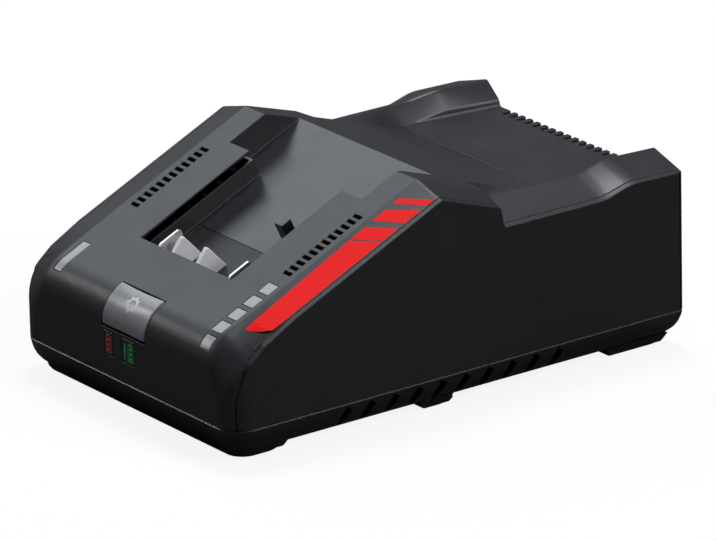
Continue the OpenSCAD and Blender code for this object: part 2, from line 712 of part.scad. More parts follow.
module transformer_bobbin() {
    color([0.1, 0.1, 0.12]) translate([core_x, core_y, core_z]) union() {
        leg_ring(bobbin_gap + bobbin_t, bobbin_gap, leg_t + bobbin_gap, core_h - leg_t - bobbin_gap);
        leg_ring(winding_out, bobbin_gap, leg_t + bobbin_gap, winding_z0 - bobbin_gap);
        leg_ring(winding_out, bobbin_gap, winding_z1 + bobbin_gap, core_h - leg_t - bobbin_gap);
        // pin blocks that stand on the board in front of and behind the core
        for (s = [-1, 1]) translate([-11, s * (core_d / 2 + 3.6) - 3.2, -3])
            cube([22, 6.4, leg_t + 3 + bobbin_gap + 0.6]);
    }
}
module transformer_winding() {
    color([0.85, 0.65, 0.15]) translate([core_x, core_y, core_z])
        leg_ring(winding_out - 0.6, bobbin_gap + bobbin_t, winding_z0 - bobbin_gap, winding_z1 + bobbin_gap);
}

// An upright can on the main board
module can(x, y, r, h) {
    translate([x, y, board_top]) cylinder(h = h, r = r, $fn = 48);
}
module bulk_capacitor() { color([0.15, 0.2, 0.35]) can(30, board_rear - 24, 11, 34); }
module output_capacitors() {
    color([0.12, 0.12, 0.14]) for (i = [0 : 2]) can(-14 + i * 12, -30, 5, 22);
}

// Finned plate that stands on the board; s is the side that the fins point to
sink_plate = 3;
sink_h = 30;
fin_reach = 8;
module heatsink(x, y0, l, s) {
    translate([x, y0, board_top]) {
        translate([s > 0 ? 0 : -sink_plate, 0, 0]) cube([sink_plate, l, sink_h]);
        for (i = [0 : 4]) translate([s > 0 ? sink_plate - 0.5 : -sink_plate - fin_reach, 2 + i * (l - 6) / 4, 3])
            cube([fin_reach + 0.5, 2, sink_h - 3]);
    }
}
sink_x = 36;
module heatsink_primary() { color(silver) heatsink(sink_x, -26, 46, 1); }
module heatsink_secondary() { color(silver) heatsink(-sink_x, -46, 40, -1); }

// Flat packages against the heatsinks' plates, on short legs
device_w = 10;
device_t = 4.4;
module device(x, y) {
    translate([x, y - device_w / 2, board_top + 4]) cube([device_t, device_w, 15]);
    for (i = [-1 : 1]) translate([x + device_t / 2 - 0.4, y + i * 2.5 - 0.4, board_top]) cube([0.8, 0.8, 4]);
}
module power_devices() {
    color([0.14, 0.14, 0.15]) {
        for (y = [-16, 4]) device(sink_x - device_t, y);
        for (y = [-38, -20]) device(-sink_x, y);
    }
}

module bridge_rectifier() {
    color([0.14, 0.14, 0.15]) translate([8, board_rear - 30, board_top]) cube([4, 20, 17]);
}

// A flat ring on the board
module toroid(x, y, ro, ri, h) {
    translate([x, y, board_top]) difference() {
        cylinder(h = h, r = ro, $fn = 48);
        translate([0, 0, -1]) cylinder(h = h + 2, r = ri, $fn = 48);
    }
}
module mains_choke() { color([0.7, 0.4, 0.15]) toroid(-36, board_rear - 34, 12, 4.5, 13); }
module output_choke() { color([0.7, 0.4, 0.15]) toroid(-2, -54, 10, 3.6, 10); }

module x_capacitor() {
    color([0.85, 0.75, 0.2]) translate([-30, board_rear - 14, board_top]) cube([20, 9, 15]);
}

// Glass fuse in two end blocks
module fuse() {
    color(silver) union() {
        translate([-4, board_rear - 6, board_top + 4.4]) rotate([0, 90, 0]) cylinder(h = 20, r = 2.6, $fn = 32);
        for (x = [-5, 13]) translate([x, board_rear - 9.4, board_top]) cube([4, 6.8, 7.4]);
    }
}

module mains_terminal() {
    color([0.2, 0.5, 0.3]) difference() {
        translate([gland_x - 9, board_rear - 11, board_top]) cube([18, 9, 12]);
        for (s = [-1, 1]) translate([gland_x + s * 4.5, board_rear + over, board_top + 5])
            rotate([90, 0, 0]) cylinder(h = over + 6, r = 2, $fn = 32);
    }
}

// Square fan frame with a round mouth, rear spokes and a hub that carries the bush
hub_t = 3;
bush_l = 8;
module fan_frame() {
    color(black) translate([0, fan_front, fan_z]) rotate([-90, 0, 0]) difference() {
        union() {
            difference() {
                translate([-fan_size / 2, -fan_size / 2, 0]) cube([fan_size, fan_size, fan_t]);
                translate([0, 0, -1]) cylinder(h = fan_t + 2, r = fan_mouth_r, $fn = 72);
            }
            translate([0, 0, fan_t - hub_t]) cylinder(h = hub_t, r = fan_hub_r, $fn = 48);
            translate([0, 0, fan_t - hub_t - bush_l]) cylinder(h = bush_l + 0.5, r = bush_r, $fn = 40);
            for (a = [45 : 90 : 315]) rotate([0, 0, a]) translate([fan_hub_r - 1, -1.2, fan_t - hub_t])
                cube([fan_mouth_r - fan_hub_r + 2, 2.4, hub_t]);
        }
        translate([0, 0, fan_t - hub_t - bush_l - 1])
            cylinder(h = bush_l + 1, r = shaft_r + shaft_clearance, $fn = 40);
        for (sx = [-1, 1]) for (sy = [-1, 1]) translate([sx * fan_size * 0.4, sy * fan_size * 0.4, -1])
            cylinder(h = fan_t + 2, r = 1.75, $fn = 32);
    }
}

// Cup hub, shaft and pitched blades
blade_reach = fan_mouth_r - 0.8;
cup_t = 11.5;
module fan_rotor() {
    color([0.16, 0.16, 0.17]) translate([0, fan_front + 1, fan_z]) rotate([-90, 0, 0]) union() {
        difference() {
            cylinder(h = cup_t, r = fan_hub_r - 0.8, $fn = 48);
            translate([0, 0, 1.6]) cylinder(h = cup_t, r = fan_hub_r - 2.6, $fn = 48);
        }
        cylinder(h = fan_t - hub_t - 1.6, r = shaft_r, $fn = 40);
        for (i = [0 : fan_blades - 1]) rotate([0, 0, i * 360 / fan_blades])
            translate([fan_hub_r - 1.4, 0, cup_t / 2]) rotate([38, 0, 0]) translate([0, -0.6, -5.6])
                cube([blade_reach - fan_hub_r + 1, 1.2, 11.2]);
    }
}

// Wall in front of the fan that makes it draw across the boards
baffle_t = 1.6;
module fan_baffle() {
    color(anthracite) difference() {
        translate([-38, fan_front - guide_t - baffle_t, tray_floor])
            cube([62, baffle_t, fan_z + fan_size / 2 - tray_floor]);
        translate([0, fan_front, fan_z]) rotate([90, 0, 0]) cylinder(h = 2 * over, r = fan_mouth_r, $fn = 64);
    }
}

// Rubber bush in the rear wall, with a collar on each side of it
module cord_gland() {
    color(black) translate([gland_x, rear_y, gland_z]) rotate([90, 0, 0]) difference() {
        union() {
            cylinder(h = gland_l, r = gland_r, $fn = 48);
            translate([0, 0, gland_collar_y]) cylinder(h = gland_collar_t, r = gland_collar_r, $fn = 48);
        }
        translate([0, 0, -1]) cylinder(h = gland_l + 2, r = gland_bore_r, $fn = 48);
    }
}

module rubber_feet() {
    color([0.05, 0.05, 0.05]) for (f = feet)
        translate([f[0] - f[2] / 2, f[1] - f[3] / 2, 0]) cube([f[2], f[3], land_z + foot_depth]);
}

// A pan-head screw with its head at z0 and its point z_up above it
module screw(r, hr, hh, l) {
    cylinder(h = hh, r = hr, $fn = 40);
    translate([0, 0, hh - eps]) cylinder(h = l, r = r, $fn = 32);
}
module housing_screws() {
    color(silver) for (p = screw_places)
        translate([p[0], p[1], head_seat - head_h]) screw(screw_r, head_r, head_h, screw_l);
}
module board_screws() {
    color(silver) {
        for (p = post_places) translate([p[0], p[1], board_top + board_head_h]) rotate([180, 0, 0])
            screw(board_screw_r, 2.4, board_head_h, board_t + 3.6);
        on_deck() both_sides() translate([peg_x, peg_y, display_top - display_t - board_head_h])
            screw(board_screw_r, 2.4, board_head_h, display_t + 4);
    }
}

lower_housing();
upper_housing();
side_panel_right();
side_panel_left();
mode_button();
switch_plunger();
tact_switch();
alert_light_pipe();
level_light_pipe();
red_window();
green_window();
display_board();
display_leds();
contact_carrier();
outer_contacts();
guide_fins();
board_link();
main_board();
insulating_sheet();
transformer_core();
transformer_bobbin();
transformer_winding();
bulk_capacitor();
output_capacitors();
heatsink_primary();
heatsink_secondary();
power_devices();
bridge_rectifier();
mains_choke();
output_choke();
x_capacitor();
fuse();
mains_terminal();
fan_frame();
fan_rotor();
fan_baffle();
cord_gland();
rubber_feet();
housing_screws();
board_screws();
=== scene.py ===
import math
import bpy
from mathutils import Euler, Matrix, Vector


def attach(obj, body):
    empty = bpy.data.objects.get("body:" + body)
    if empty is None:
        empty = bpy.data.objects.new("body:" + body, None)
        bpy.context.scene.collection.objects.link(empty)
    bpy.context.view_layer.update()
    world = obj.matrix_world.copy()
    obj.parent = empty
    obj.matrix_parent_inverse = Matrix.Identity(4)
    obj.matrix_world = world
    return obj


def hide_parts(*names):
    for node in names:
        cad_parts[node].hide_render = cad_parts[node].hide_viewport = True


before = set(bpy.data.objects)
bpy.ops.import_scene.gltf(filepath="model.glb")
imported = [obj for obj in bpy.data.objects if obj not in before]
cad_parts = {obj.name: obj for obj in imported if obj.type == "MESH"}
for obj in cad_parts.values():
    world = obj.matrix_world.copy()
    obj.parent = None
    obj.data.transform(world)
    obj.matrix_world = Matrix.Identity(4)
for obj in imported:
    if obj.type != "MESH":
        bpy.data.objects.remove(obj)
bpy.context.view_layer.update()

mm = 0.001

# 1. Camera, table and lights
# A long lens looks down from the right of the nose at the height of the photograph.
# The table is pale and wide. Soft lamps stand at the left, low before the nose, overhead and
# far off at the right.
camera_place = Vector((2.09605, -1.51042, 0.97229))
camera_turn = Euler([math.radians(angle) for angle in (69.9859, 1.1875, 53.7180)])
lens = bpy.data.cameras.new("camera")
lens.sensor_width = 36
lens.lens = 399.301
lens.shift_x = -0.00355
lens.shift_y = 0.00069
lens.clip_end = 100
camera = bpy.data.objects.new("camera", lens)
camera.matrix_world = Matrix.LocRotScale(camera_place, camera_turn, None)
bpy.context.scene.collection.objects.link(camera)
bpy.context.scene.camera = camera
bpy.context.scene.view_settings.view_transform = "Standard"


def arithmetic(tree, kind, a, b):
    node = tree.nodes.new("ShaderNodeMath")
    node.operation = kind
    for socket, value in zip(node.inputs, (a, b)):
        if isinstance(value, (int, float)):
            socket.default_value = value
        else:
            tree.links.new(value, socket)
    return node.outputs[0]


def tinted(tree, mask, first, second):
    # first where the mask is 0, second where it is 1; either may be a colour or another node's output
    node = tree.nodes.new("ShaderNodeMix")
    node.data_type = "RGBA"
    tree.links.new(mask, node.inputs["Factor"])
    for key, tone in (("A", first), ("B", second)):
        if isinstance(tone, tuple):
            node.inputs[key].default_value = tone + (1,)
        else:
            tree.links.new(tone, node.inputs[key])
    return node.outputs["Result"]


bpy.ops.object.select_all(action="DESELECT")
bpy.ops.mesh.primitive_plane_add(size=60, location=(0, 0, 0))
table = bpy.context.active_object
table.name = "table_top"
# pale paint that the camera sees as nearly white, with the shadow of the charger still on it
paint = bpy.data.materials.new("table_paint")
paint.use_nodes = True
tree = paint.node_tree
tree.nodes.clear()
out = tree.nodes.new("ShaderNodeOutputMaterial")
matt = tree.nodes.new("ShaderNodeBsdfDiffuse")
white = tree.nodes.new("ShaderNodeEmission")
blend = tree.nodes.new("ShaderNodeMixShader")
path = tree.nodes.new("ShaderNodeLightPath").outputs
white_share = 0.88
seen = arithmetic(tree, "MAXIMUM", path["Is Camera Ray"], path["Is Transmission Ray"])
tree.links.new(tinted(tree, seen, (0.09, 0.09, 0.09), (0.9, 0.9, 0.9)), matt.inputs["Color"])
tree.links.new(arithmetic(tree, "MULTIPLY", seen, white_share), blend.inputs["Fac"])
tree.links.new(matt.outputs[0], blend.inputs[1])
tree.links.new(white.outputs[0], blend.inputs[2])
tree.links.new(blend.outputs[0], out.inputs["Surface"])
table.data.materials.append(paint)

# the world is white to the camera, a dim grey to the object and a little lighter in its gloss
world = bpy.data.worlds.new("studio")
bpy.context.scene.world = world
world.use_nodes = True
tree = world.node_tree
path = tree.nodes.new("ShaderNodeLightPath").outputs
gloss_share = 0.06
seen = arithmetic(tree, "MAXIMUM", path["Is Camera Ray"], path["Is Transmission Ray"])
glossy = arithmetic(tree, "MULTIPLY", path["Is Glossy Ray"], gloss_share)
sky = tinted(tree, arithmetic(tree, "MAXIMUM", seen, glossy), (0.11, 0.11, 0.12), (1.0, 1.0, 1.0))
tree.links.new(sky, tree.nodes["Background"].inputs["Color"])


def soft_lamp(name, place, aim, width, height, watts, tone=(1.0, 1.0, 1.0)):
    data = bpy.data.lights.new(name, "AREA")
    data.shape = "RECTANGLE"
    data.size = width
    data.size_y = height
    data.energy = watts
    data.color = tone
    lamp = bpy.data.objects.new(name, data)
    lamp.location = place
    lamp.rotation_mode = "QUATERNION"
    lamp.rotation_quaternion = (Vector(aim) - Vector(place)).to_track_quat("-Z", "Y")
    bpy.context.scene.collection.objects.link(lamp)


soft_lamp("lamp_left", (-1.5, 0.2, 1.25), (0, 0, 0.05), 1.1, 0.8, 7.0, (0.86, 0.92, 1.0))
soft_lamp("lamp_nose", (-1.3, -0.74, 0.8), (-0.03, -0.09, 0.05), 0.5, 0.2, 3.2)
soft_lamp("lamp_top", (-0.3, 0.3, 1.85), (0, 0, 0.05), 0.6, 0.6, 24, (0.94, 0.96, 1.0))
soft_lamp("lamp_right", (2.2, 0.9, 1.6), (0, 0, 0.05), 1.2, 1.2, 46, (0.95, 0.97, 1.0))

# 2. Upper housing
# One injection moulding in anthracite glass-filled nylon: nose, sloped deck with the battery bay,
# crest, rear deck and the two rear horns. Its roof is lofted from cross-sections, then the bay,
# the slots and the windows are cut through it. Screws hold it to the tray from below.
front_y, rear_y = -96.0, 96.0
half_w = 64.0
seam_z = 13.0
crest_y, crest_z = -7.5, 80.4
deck_angle = math.radians(24.6)
nose_r = 14.0
nose_y = front_y + nose_r
nose_z = (crest_z - (crest_y - front_y) * math.tan(deck_angle)
          - nose_r * math.tan((math.pi / 2 - deck_angle) / 2))
nose_arc = nose_r * (math.pi / 2 - deck_angle)
rear_run, rear_drop = 62.0, 20.3
rear_angle = math.atan(rear_drop / rear_run)
rear_deck_z = crest_z - rear_drop
saddle_y, ramp_y, horn_y = 18.0, 62.5, 73.8
saddle_start, saddle_fall = 17.3, 1.6
wall = 2.4
panel_t, panel_gap = 1.8, 0.22
corner_front, corner_rear = 9.5, 1.2
over = 6.0


def between(y, marks):
    # straight lines through marks of (place, value), held level outside them
    if y <= marks[0][0]:
        return marks[0][1]
    for (y0, v0), (y1, v1) in zip(marks, marks[1:]):
        if y <= y1:
            return v0 + (v1 - v0) * (y - y0) / (y1 - y0)
    return marks[-1][1]


def eased(shape, y, reach):
    # the mean of a shape over reach on both sides of y
    return sum(shape(y + reach * k / 16) for k in range(-16, 17)) / 33


def roof_line(y, t=0.0):
    if y < nose_y - (nose_r - t) * math.sin(deck_angle):
        return nose_z + math.sqrt(max(0.0, (nose_r - t) ** 2 - (y - nose_y) ** 2))
    deck = crest_z - (crest_y - y) * math.tan(deck_angle) - t / math.cos(deck_angle)
    slope = crest_z - (y - crest_y) * math.tan(rear_angle) - t / math.cos(rear_angle)
    return min(deck, max(slope, rear_deck_z - t))


def roof_z(y, t=0.0):
    if y < -60:
        return roof_line(y, t)
    return eased(lambda v: roof_line(v, t), y, 0.9 if y < 30 else 2.5)


def plan_x(y, t=0.0):
    x = half_w - t
    if y < front_y + corner_front:
        r, u = corner_front - t, front_y + corner_front - y
        x -= r - math.sqrt(max(0.0, r * r - u * u))
    if y > rear_y - corner_rear:
        r, u = max(corner_rear - t, 0.3), y - rear_y + corner_rear
        x -= r - math.sqrt(max(0.0, r * r - u * u))
    return x


def step_z(y, low, high):
    # the front end of the saddle falls from the crest's shoulder in one tight S
    k = min(1.0, max(0.0, (y - saddle_start) / saddle_fall))
    return high + (low - high) * k * k * (3 - 2 * k)


def edge_line(y):
    shoulder = roof_line(y) - between(y, [(front_y, 10.0), (-79.0, 3.4), (crest_y, 3.8), (saddle_y, 4.2)])
    saddle = rear_deck_z + between(y, [(ramp_y, 0.7), (horn_y, 4.0), (rear_y, 3.5)])
    return step_z(y, saddle, shoulder) if y < 24 else saddle


def softened(line, y):
    # exact on the nose, tight at the saddle's front end and loose on the rear ramp
    if y < -60:
        return line(y)
    return eased(line, y, 0.35 if 14 < y < 22 else 3.0 if y > 40 else 0.7)


def edge_z(y):
    return softened(edge_line, y)


def ridge_line(y):
    shoulder = roof_line(y) - between(y, [(crest_y, 0.0), (saddle_y, 0.6)])
    saddle = rear_deck_z + between(y, [(ramp_y, 7.2), (horn_y, 9.3), (rear_y, 8.2)])
    return step_z(y, saddle, shoulder) if y < 24 else saddle


def ridge_z(y):
    return softened(ridge_line, y)


def ridge_x(y):
    return eased(lambda v: between(v, [(crest_y, 50.0), (saddle_y - 0.6, 55.0), (saddle_y + 0.8, 50.0),
                                       (ramp_y, 50.0), (horn_y, 47.8)]), y, 0.4)


def foot_x(y):
    return eased(lambda v: between(v, [(ramp_y, 44.0), (rear_y, 40.2)]), y, 1.5)


def foot_top_z(y, t):
    rise = eased(lambda v: between(v, [(ramp_y - 5, 0.0), (horn_y, 2.4), (rear_y, 2.2)]), y, 3)
    return roof_z(y, t) + rise


def rounded(points, radii, steps=4):
    # swaps each inner corner for a fillet, kept clear of its neighbours
    line = [points[0]]
    for i in range(1, len(points) - 1):
        p = Vector(points[i])
        a, b = Vector(points[i - 1]) - p, Vector(points[i + 1]) - p
        turn = math.pi - a.angle(b, 0.0) if a.length > 1e-6 and b.length > 1e-6 else 0.0
        cut = min(radii[i - 1] * math.tan(turn / 2), a.length * 0.45, b.length * 0.45)
        cut = max(cut, 0.02)
        start, end = p + a.normalized() * cut, p + b.normalized() * cut
        for k in range(steps + 1):
            s = k / steps
            line.append(tuple(start * (1 - s) ** 2 + p * 2 * s * (1 - s) + end * s ** 2))
    return line + [points[-1]]


def half_section(y, t, ts, low):
    # right half of a cross-section, t below the roof and ts inside the flank, down to low
    w = plan_x(y, ts)
    near_nose = between(y, [(front_y, 1.0), (-91.0, 1.0), (-80.0, 0.0)])
    c = min(ridge_x(y), w - 3.2)
    f = min(foot_x(y), c - 1.6)
    points = [(w, low), (w, edge_z(y) - t), (c, ridge_z(y) - t), (f + 0.4, foot_top_z(y, t)),
              (f, roof_z(y, t)), (0.0, roof_z(y, t))]
    return rounded(points, [0.5 + 3.5 * near_nose, 2.0 + 8 * near_nose, 2.5, 2.0])


def stations(t):
    # where the cross-sections stand: close together wherever the roof turns
    lead = [nose_y - (nose_r - t) * math.cos(math.radians(a * 3.75)) for a in range(25)]
    rest = [-70, -50, -30, -14, -9, -8.5, -8, -7.5, -7, -6.5, -6, -2, 4, 10, 14]
    rest += [15.5 + 0.4 * k for k in range(15)]
    rest += [22.5, 24, 27, 31, 36, 42, 47, 50, 51.5, 53, 54.5, 56, 57.5]
    rest += [58.7 + k for k in range(20)] + [80, 83, 87, 90, 92.5]
    tail = [rear_y - corner_rear + (corner_rear - t) * math.sin(math.radians(a * 15)) for a in range(7)]
    inside = [y for y in lead + rest + tail if front_y + t <= y <= rear_y - t]
    ys = sorted(set(round(y, 4) for y in inside))
    return [y for i, y in enumerate(ys) if i == len(ys) - 1 or ys[i + 1] - y > 0.01]


def only(obj):
    bpy.ops.object.select_all(action="DESELECT")
    obj.select_set(True)
    bpy.context.view_layer.objects.active = obj


def lofted(name, rings):
    # a grid whose rows become the rings
    rows, cols = len(rings), len(rings[0])
    bpy.ops.object.select_all(action="DESELECT")
    bpy.ops.mesh.primitive_grid_add(x_subdivisions=cols - 1, y_subdivisions=rows - 1, size=2)
    obj = bpy.context.active_object
    obj.name = name
    for j, ring in enumerate(rings):
        for i, p in enumerate(ring):
            obj.data.vertices[j * cols + i].co = Vector(p) * mm
    return obj


def sealed(obj):
    only(obj)
    bpy.ops.object.mode_set(mode="EDIT")
    bpy.ops.mesh.select_all(action="SELECT")
    bpy.ops.mesh.remove_doubles(threshold=0.000002)
    bpy.ops.mesh.normals_make_consistent(inside=False)
    bpy.ops.object.mode_set(mode="OBJECT")
    return obj


def prism(name, rings):
    # closed rings joined in order, with a face across the first and the last
    cols = len(rings[0]) + 1
    obj = lofted(name, [list(ring) + [ring[0]] for ring in rings])
    only(obj)
    for row in (0, len(rings) - 1):
        bpy.ops.object.mode_set(mode="EDIT")
        bpy.ops.mesh.select_mode(type="VERT")
        bpy.ops.mesh.select_all(action="DESELECT")
        bpy.ops.object.mode_set(mode="OBJECT")
        for i in range(cols):
            obj.data.vertices[row * cols + i].select = True
        bpy.ops.object.mode_set(mode="EDIT")
        bpy.ops.mesh.edge_face_add()
        bpy.ops.object.mode_set(mode="OBJECT")
    return sealed(obj)


def roof_solid(name, t, ts, low):
    rings = []
    for y in stations(t):
        half = half_section(y, t, ts, low)
        rings.append([(x, y, z) for x, z in half] + [(-x, y, z) for x, z in half[-2::-1]])
    return tidy_faces(prism(name, rings))


def applied(obj, kind, **settings):
    # one modifier with its settings, applied at once
    only(obj)
    step = obj.modifiers.new(kind.lower(), kind)
    for key, value in settings.items():
        setattr(step, key, value)
    bpy.ops.object.modifier_apply(modifier=step.name)
    return obj


def carve(obj, cutter, how="DIFFERENCE"):
    applied(obj, "BOOLEAN", operation=how, solver="MANIFOLD", object=cutter)
    bpy.data.objects.remove(cutter)


def joined(parts, name):
    bpy.ops.object.select_all(action="DESELECT")
    for p in parts:
        p.select_set(True)
    bpy.context.view_layer.objects.active = parts[0]
    bpy.ops.object.join()
    obj = bpy.context.active_object
    obj.name = name
    return obj


def block(low, high, on_slope=False):
    # a box from its low to its high corner in mm, or in the slope frame of the deck
    bpy.ops.object.select_all(action="DESELECT")
    bpy.ops.mesh.primitive_cube_add(size=1)
    obj = bpy.context.active_object
    for v in obj.data.vertices:
        p = [low[i] if v.co[i] < 0 else high[i] for i in range(3)]
        v.co = Vector(slope_point(*p) if on_slope else p) * mm
    return obj


def slope_point(x, along, height):
    # from the slope frame: distance up the deck from the crest line, and height above the deck
    return (x, crest_y + along * math.cos(deck_angle) - height * math.sin(deck_angle),
            crest_z + along * math.sin(deck_angle) + height * math.cos(deck_angle))


def upright(name, x, t, outline):
    # a plate across x, cut to an outline in the slope frame
    return prism(name, [[slope_point(px, along, height) for along, height in outline]
                        for px in (x - t / 2, x + t / 2)])


def rod(radius, height, place, axis=(0, 0, 1), sides=40):
    # a round bar that starts at place and runs along axis
    bpy.ops.object.select_all(action="DESELECT")
    bpy.ops.mesh.primitive_cylinder_add(vertices=sides, radius=radius * mm, depth=height * mm)
    obj = bpy.context.active_object
    turn = Vector((0, 0, 1)).rotation_difference(Vector(axis)).to_matrix().to_4x4()
    raised = Matrix.Translation((0, 0, height * mm / 2))
    obj.data.transform(Matrix.Translation(Vector(place) * mm) @ turn @ raised)
    obj.location = (0, 0, 0)
    return obj


def skin_point(u, t):
    # u along the skin from the foot of the nose blend, t below it
    if u <= 0:
        return front_y + t, nose_z + u
    a = min(u, nose_arc) / nose_r
    k = max(0.0, u - nose_arc)
    return (max(front_y, nose_y - (nose_r - t) * math.cos(a) + k * math.cos(deck_angle)),
            nose_z + (nose_r - t) * math.sin(a) + k * math.sin(deck_angle))


def skin_patch(name, x0, x1, u0, u1, t0, t1, across=1, dish=0.0, steps=16):
    # a slab that follows the nose: t0 is its outer face and t1 its inner one
    rings = []
    for j in range(across + 1):
        x = x0 + (x1 - x0) * j / across
        sag = dish * (1 - (2 * j / across - 1) ** 2)
        outer = [skin_point(u0 + (u1 - u0) * i / steps, t0 + sag) for i in range(steps + 1)]
        inner = [skin_point(u0 + (u1 - u0) * i / steps, t1) for i in range(steps, -1, -1)]
        rings.append([(x, y, z) for y, z in outer + inner])
    return prism(name, rings)


def tidy_faces(obj):
    only(obj)
    bpy.ops.object.mode_set(mode="EDIT")
    bpy.ops.mesh.select_all(action="SELECT")
    bpy.ops.mesh.remove_doubles(threshold=0.00002)
    bpy.ops.mesh.dissolve_limited(angle_limit=math.radians(0.02))
    bpy.ops.object.mode_set(mode="OBJECT")
    return obj


def finish_edges(obj, width, segments=2, angle=35, clamped=True):
    # rounds every sharp edge and evens the shading, width in mm
    applied(obj, "BEVEL", width=width * mm, segments=segments, limit_method="ANGLE",
            angle_limit=math.radians(angle), use_clamp_overlap=clamped)
    bpy.ops.object.shade_smooth_by_angle(angle=math.radians(50))
    return applied(obj, "WEIGHTED_NORMAL", keep_sharp=True)


def roof_shading(obj):
    # corner normals of the roof from its own formula, so that cuts and bevels leave no trace in its gloss
    lines = {}

    def height(x, y):
        key = round(y, 3)
        if key not in lines:
            lines[key] = [(-px, pz) for px, pz in half_section(key, 0.0, 0.0, seam_z)]
        return between(-abs(x), lines[key])

    mesh, step = obj.data, 0.04
    exact = {}
    for v in mesh.vertices:
        x, y, z = v.co / mm
        if abs(x) > plan_x(y) - 0.2 or y < front_y + 0.3 or z < seam_z + 20:
            continue
        lean = Vector((height(x - step, y) - height(x + step, y),
                       height(x, y - step) - height(x, y + step), 2 * step))
        lean.normalize()
        if abs(height(x, y) - z) * lean.z < 0.02:
            exact[v.index] = lean
    normals = [corner.vector.copy() for corner in mesh.corner_normals]
    for face in mesh.polygons:
        for i in face.loop_indices:
            lean = exact.get(mesh.loops[i].vertex_index)
            if lean and face.normal.length > 0.5 and lean.angle(face.normal) < 1.3:
                normals[i] = lean
    mesh.normals_split_custom_set(normals)


def node_group(name, inputs, outputs):
    group = bpy.data.node_groups.new(name, "ShaderNodeTree")
    for label, kind in inputs:
        group.interface.new_socket(label, in_out="INPUT", socket_type=kind)
    for label in outputs:
        group.interface.new_socket(label, in_out="OUTPUT", socket_type="NodeSocketFloat")
    return group, group.nodes.new("NodeGroupInput"), group.nodes.new("NodeGroupOutput")


def noise(tree, vector, scale, detail, rough=0.5):
    node = tree.nodes.new("ShaderNodeTexNoise")
    node.inputs["Detail"].default_value = detail
    node.inputs["Roughness"].default_value = rough
    tree.links.new(vector, node.inputs["Vector"])
    if isinstance(scale, (int, float)):
        node.inputs["Scale"].default_value = scale
    else:
        tree.links.new(scale, node.inputs["Scale"])
    return node.outputs["Fac"]


def remapped(tree, value, low, high, to_low=0.0, to_high=1.0):
    node = tree.nodes.new("ShaderNodeMapRange")
    node.interpolation_type = "SMOOTHSTEP"
    for key, number in zip(("From Min", "From Max", "To Min", "To Max"), (low, high, to_low, to_high)):
        node.inputs[key].default_value = number
    tree.links.new(value, node.inputs["Value"])
    return node.outputs["Result"]


# spark-eroded mould grain: fine pits, plus the slow change of shade and gloss of a large moulding
grain, take, give = node_group("mould_grain",
                               [("Vector", "NodeSocketVector"), ("Scale", "NodeSocketFloat")],
                               ["Height", "Shade", "Gloss"])
pits = grain.nodes.new("ShaderNodeTexVoronoi")
pits.feature = "SMOOTH_F1"
pits.inputs["Smoothness"].default_value = 0.6
grain.links.new(take.outputs["Vector"], pits.inputs["Vector"])
grain.links.new(take.outputs["Scale"], pits.inputs["Scale"])
fine = noise(grain, take.outputs["Vector"], take.outputs["Scale"], 3)
grain.links.new(arithmetic(grain, "ADD", pits.outputs["Distance"], fine), give.inputs["Height"])
slow = noise(grain, take.outputs["Vector"], 22.0, 4, 0.6)
grain.links.new(remapped(grain, slow, 0.3, 0.7), give.inputs["Shade"])
streak = noise(grain, take.outputs["Vector"], 90.0, 5, 0.65)
grain.links.new(remapped(grain, streak, 0.35, 0.75), give.inputs["Gloss"])

# dust that settles on faces that look up, in loose specks and a thin even film
dust, take, give = node_group("settled_dust",
                              [("Vector", "NodeSocketVector"), ("Amount", "NodeSocketFloat")], ["Mask"])
facing = dust.nodes.new("ShaderNodeNewGeometry")
split = dust.nodes.new("ShaderNodeSeparateXYZ")
dust.links.new(facing.outputs["Normal"], split.inputs[0])
level = remapped(dust, split.outputs["Z"], 0.25, 0.95)
specks = remapped(dust, noise(dust, take.outputs["Vector"], 2600.0, 2, 0.7), 0.66, 0.74)
film = remapped(dust, noise(dust, take.outputs["Vector"], 60.0, 4, 0.6), 0.35, 0.75, 0.0, 0.12)
settled = arithmetic(dust, "MULTIPLY", arithmetic(dust, "ADD", specks, film), level)
dust.links.new(arithmetic(dust, "MULTIPLY", settled, take.outputs["Amount"]), give.inputs["Mask"])

# short fine scratches from handling and sliding, in two directions
scuffs, take, give = node_group("handling_scratches", [("Vector", "NodeSocketVector")], ["Mask"])
lines = []
for turned, squeeze in ((0.5, (1400.0, 40.0, 1400.0)), (-0.7, (1100.0, 30.0, 1100.0))):
    place = scuffs.nodes.new("ShaderNodeMapping")
    place.inputs["Rotation"].default_value = (0.2, 0.1, turned)
    place.inputs["Scale"].default_value = squeeze
    scuffs.links.new(take.outputs["Vector"], place.inputs["Vector"])
    lines.append(remapped(scuffs, noise(scuffs, place.outputs["Vector"], 1.0, 1), 0.70, 0.74))
patchy = remapped(scuffs, noise(scuffs, take.outputs["Vector"], 45.0, 3), 0.5, 0.66)
both = arithmetic(scuffs, "MAXIMUM", lines[0], lines[1])
scuffs.links.new(arithmetic(scuffs, "MULTIPLY", both, patchy), give.inputs["Mask"])


def placed(tree, group, vector, **values):
    node = tree.nodes.new("ShaderNodeGroup")
    node.node_tree = group
    tree.links.new(vector, node.inputs["Vector"])
    for key, number in values.items():
        node.inputs[key].default_value = number
    return node


def new_finish(name):
    made = bpy.data.materials.new(name)
    made.use_nodes = True
    tree = made.node_tree
    return made, tree, tree.nodes["Principled BSDF"], tree.nodes.new("ShaderNodeTexCoord").outputs["Object"]


def embossed(tree, shader, height, depth):
    # gives a surface its relief, depth in mm
    bump = tree.nodes.new("ShaderNodeBump")
    bump.inputs["Distance"].default_value = depth * mm
    tree.links.new(height, bump.inputs["Height"])
    tree.links.new(bump.outputs["Normal"], shader.inputs["Normal"])


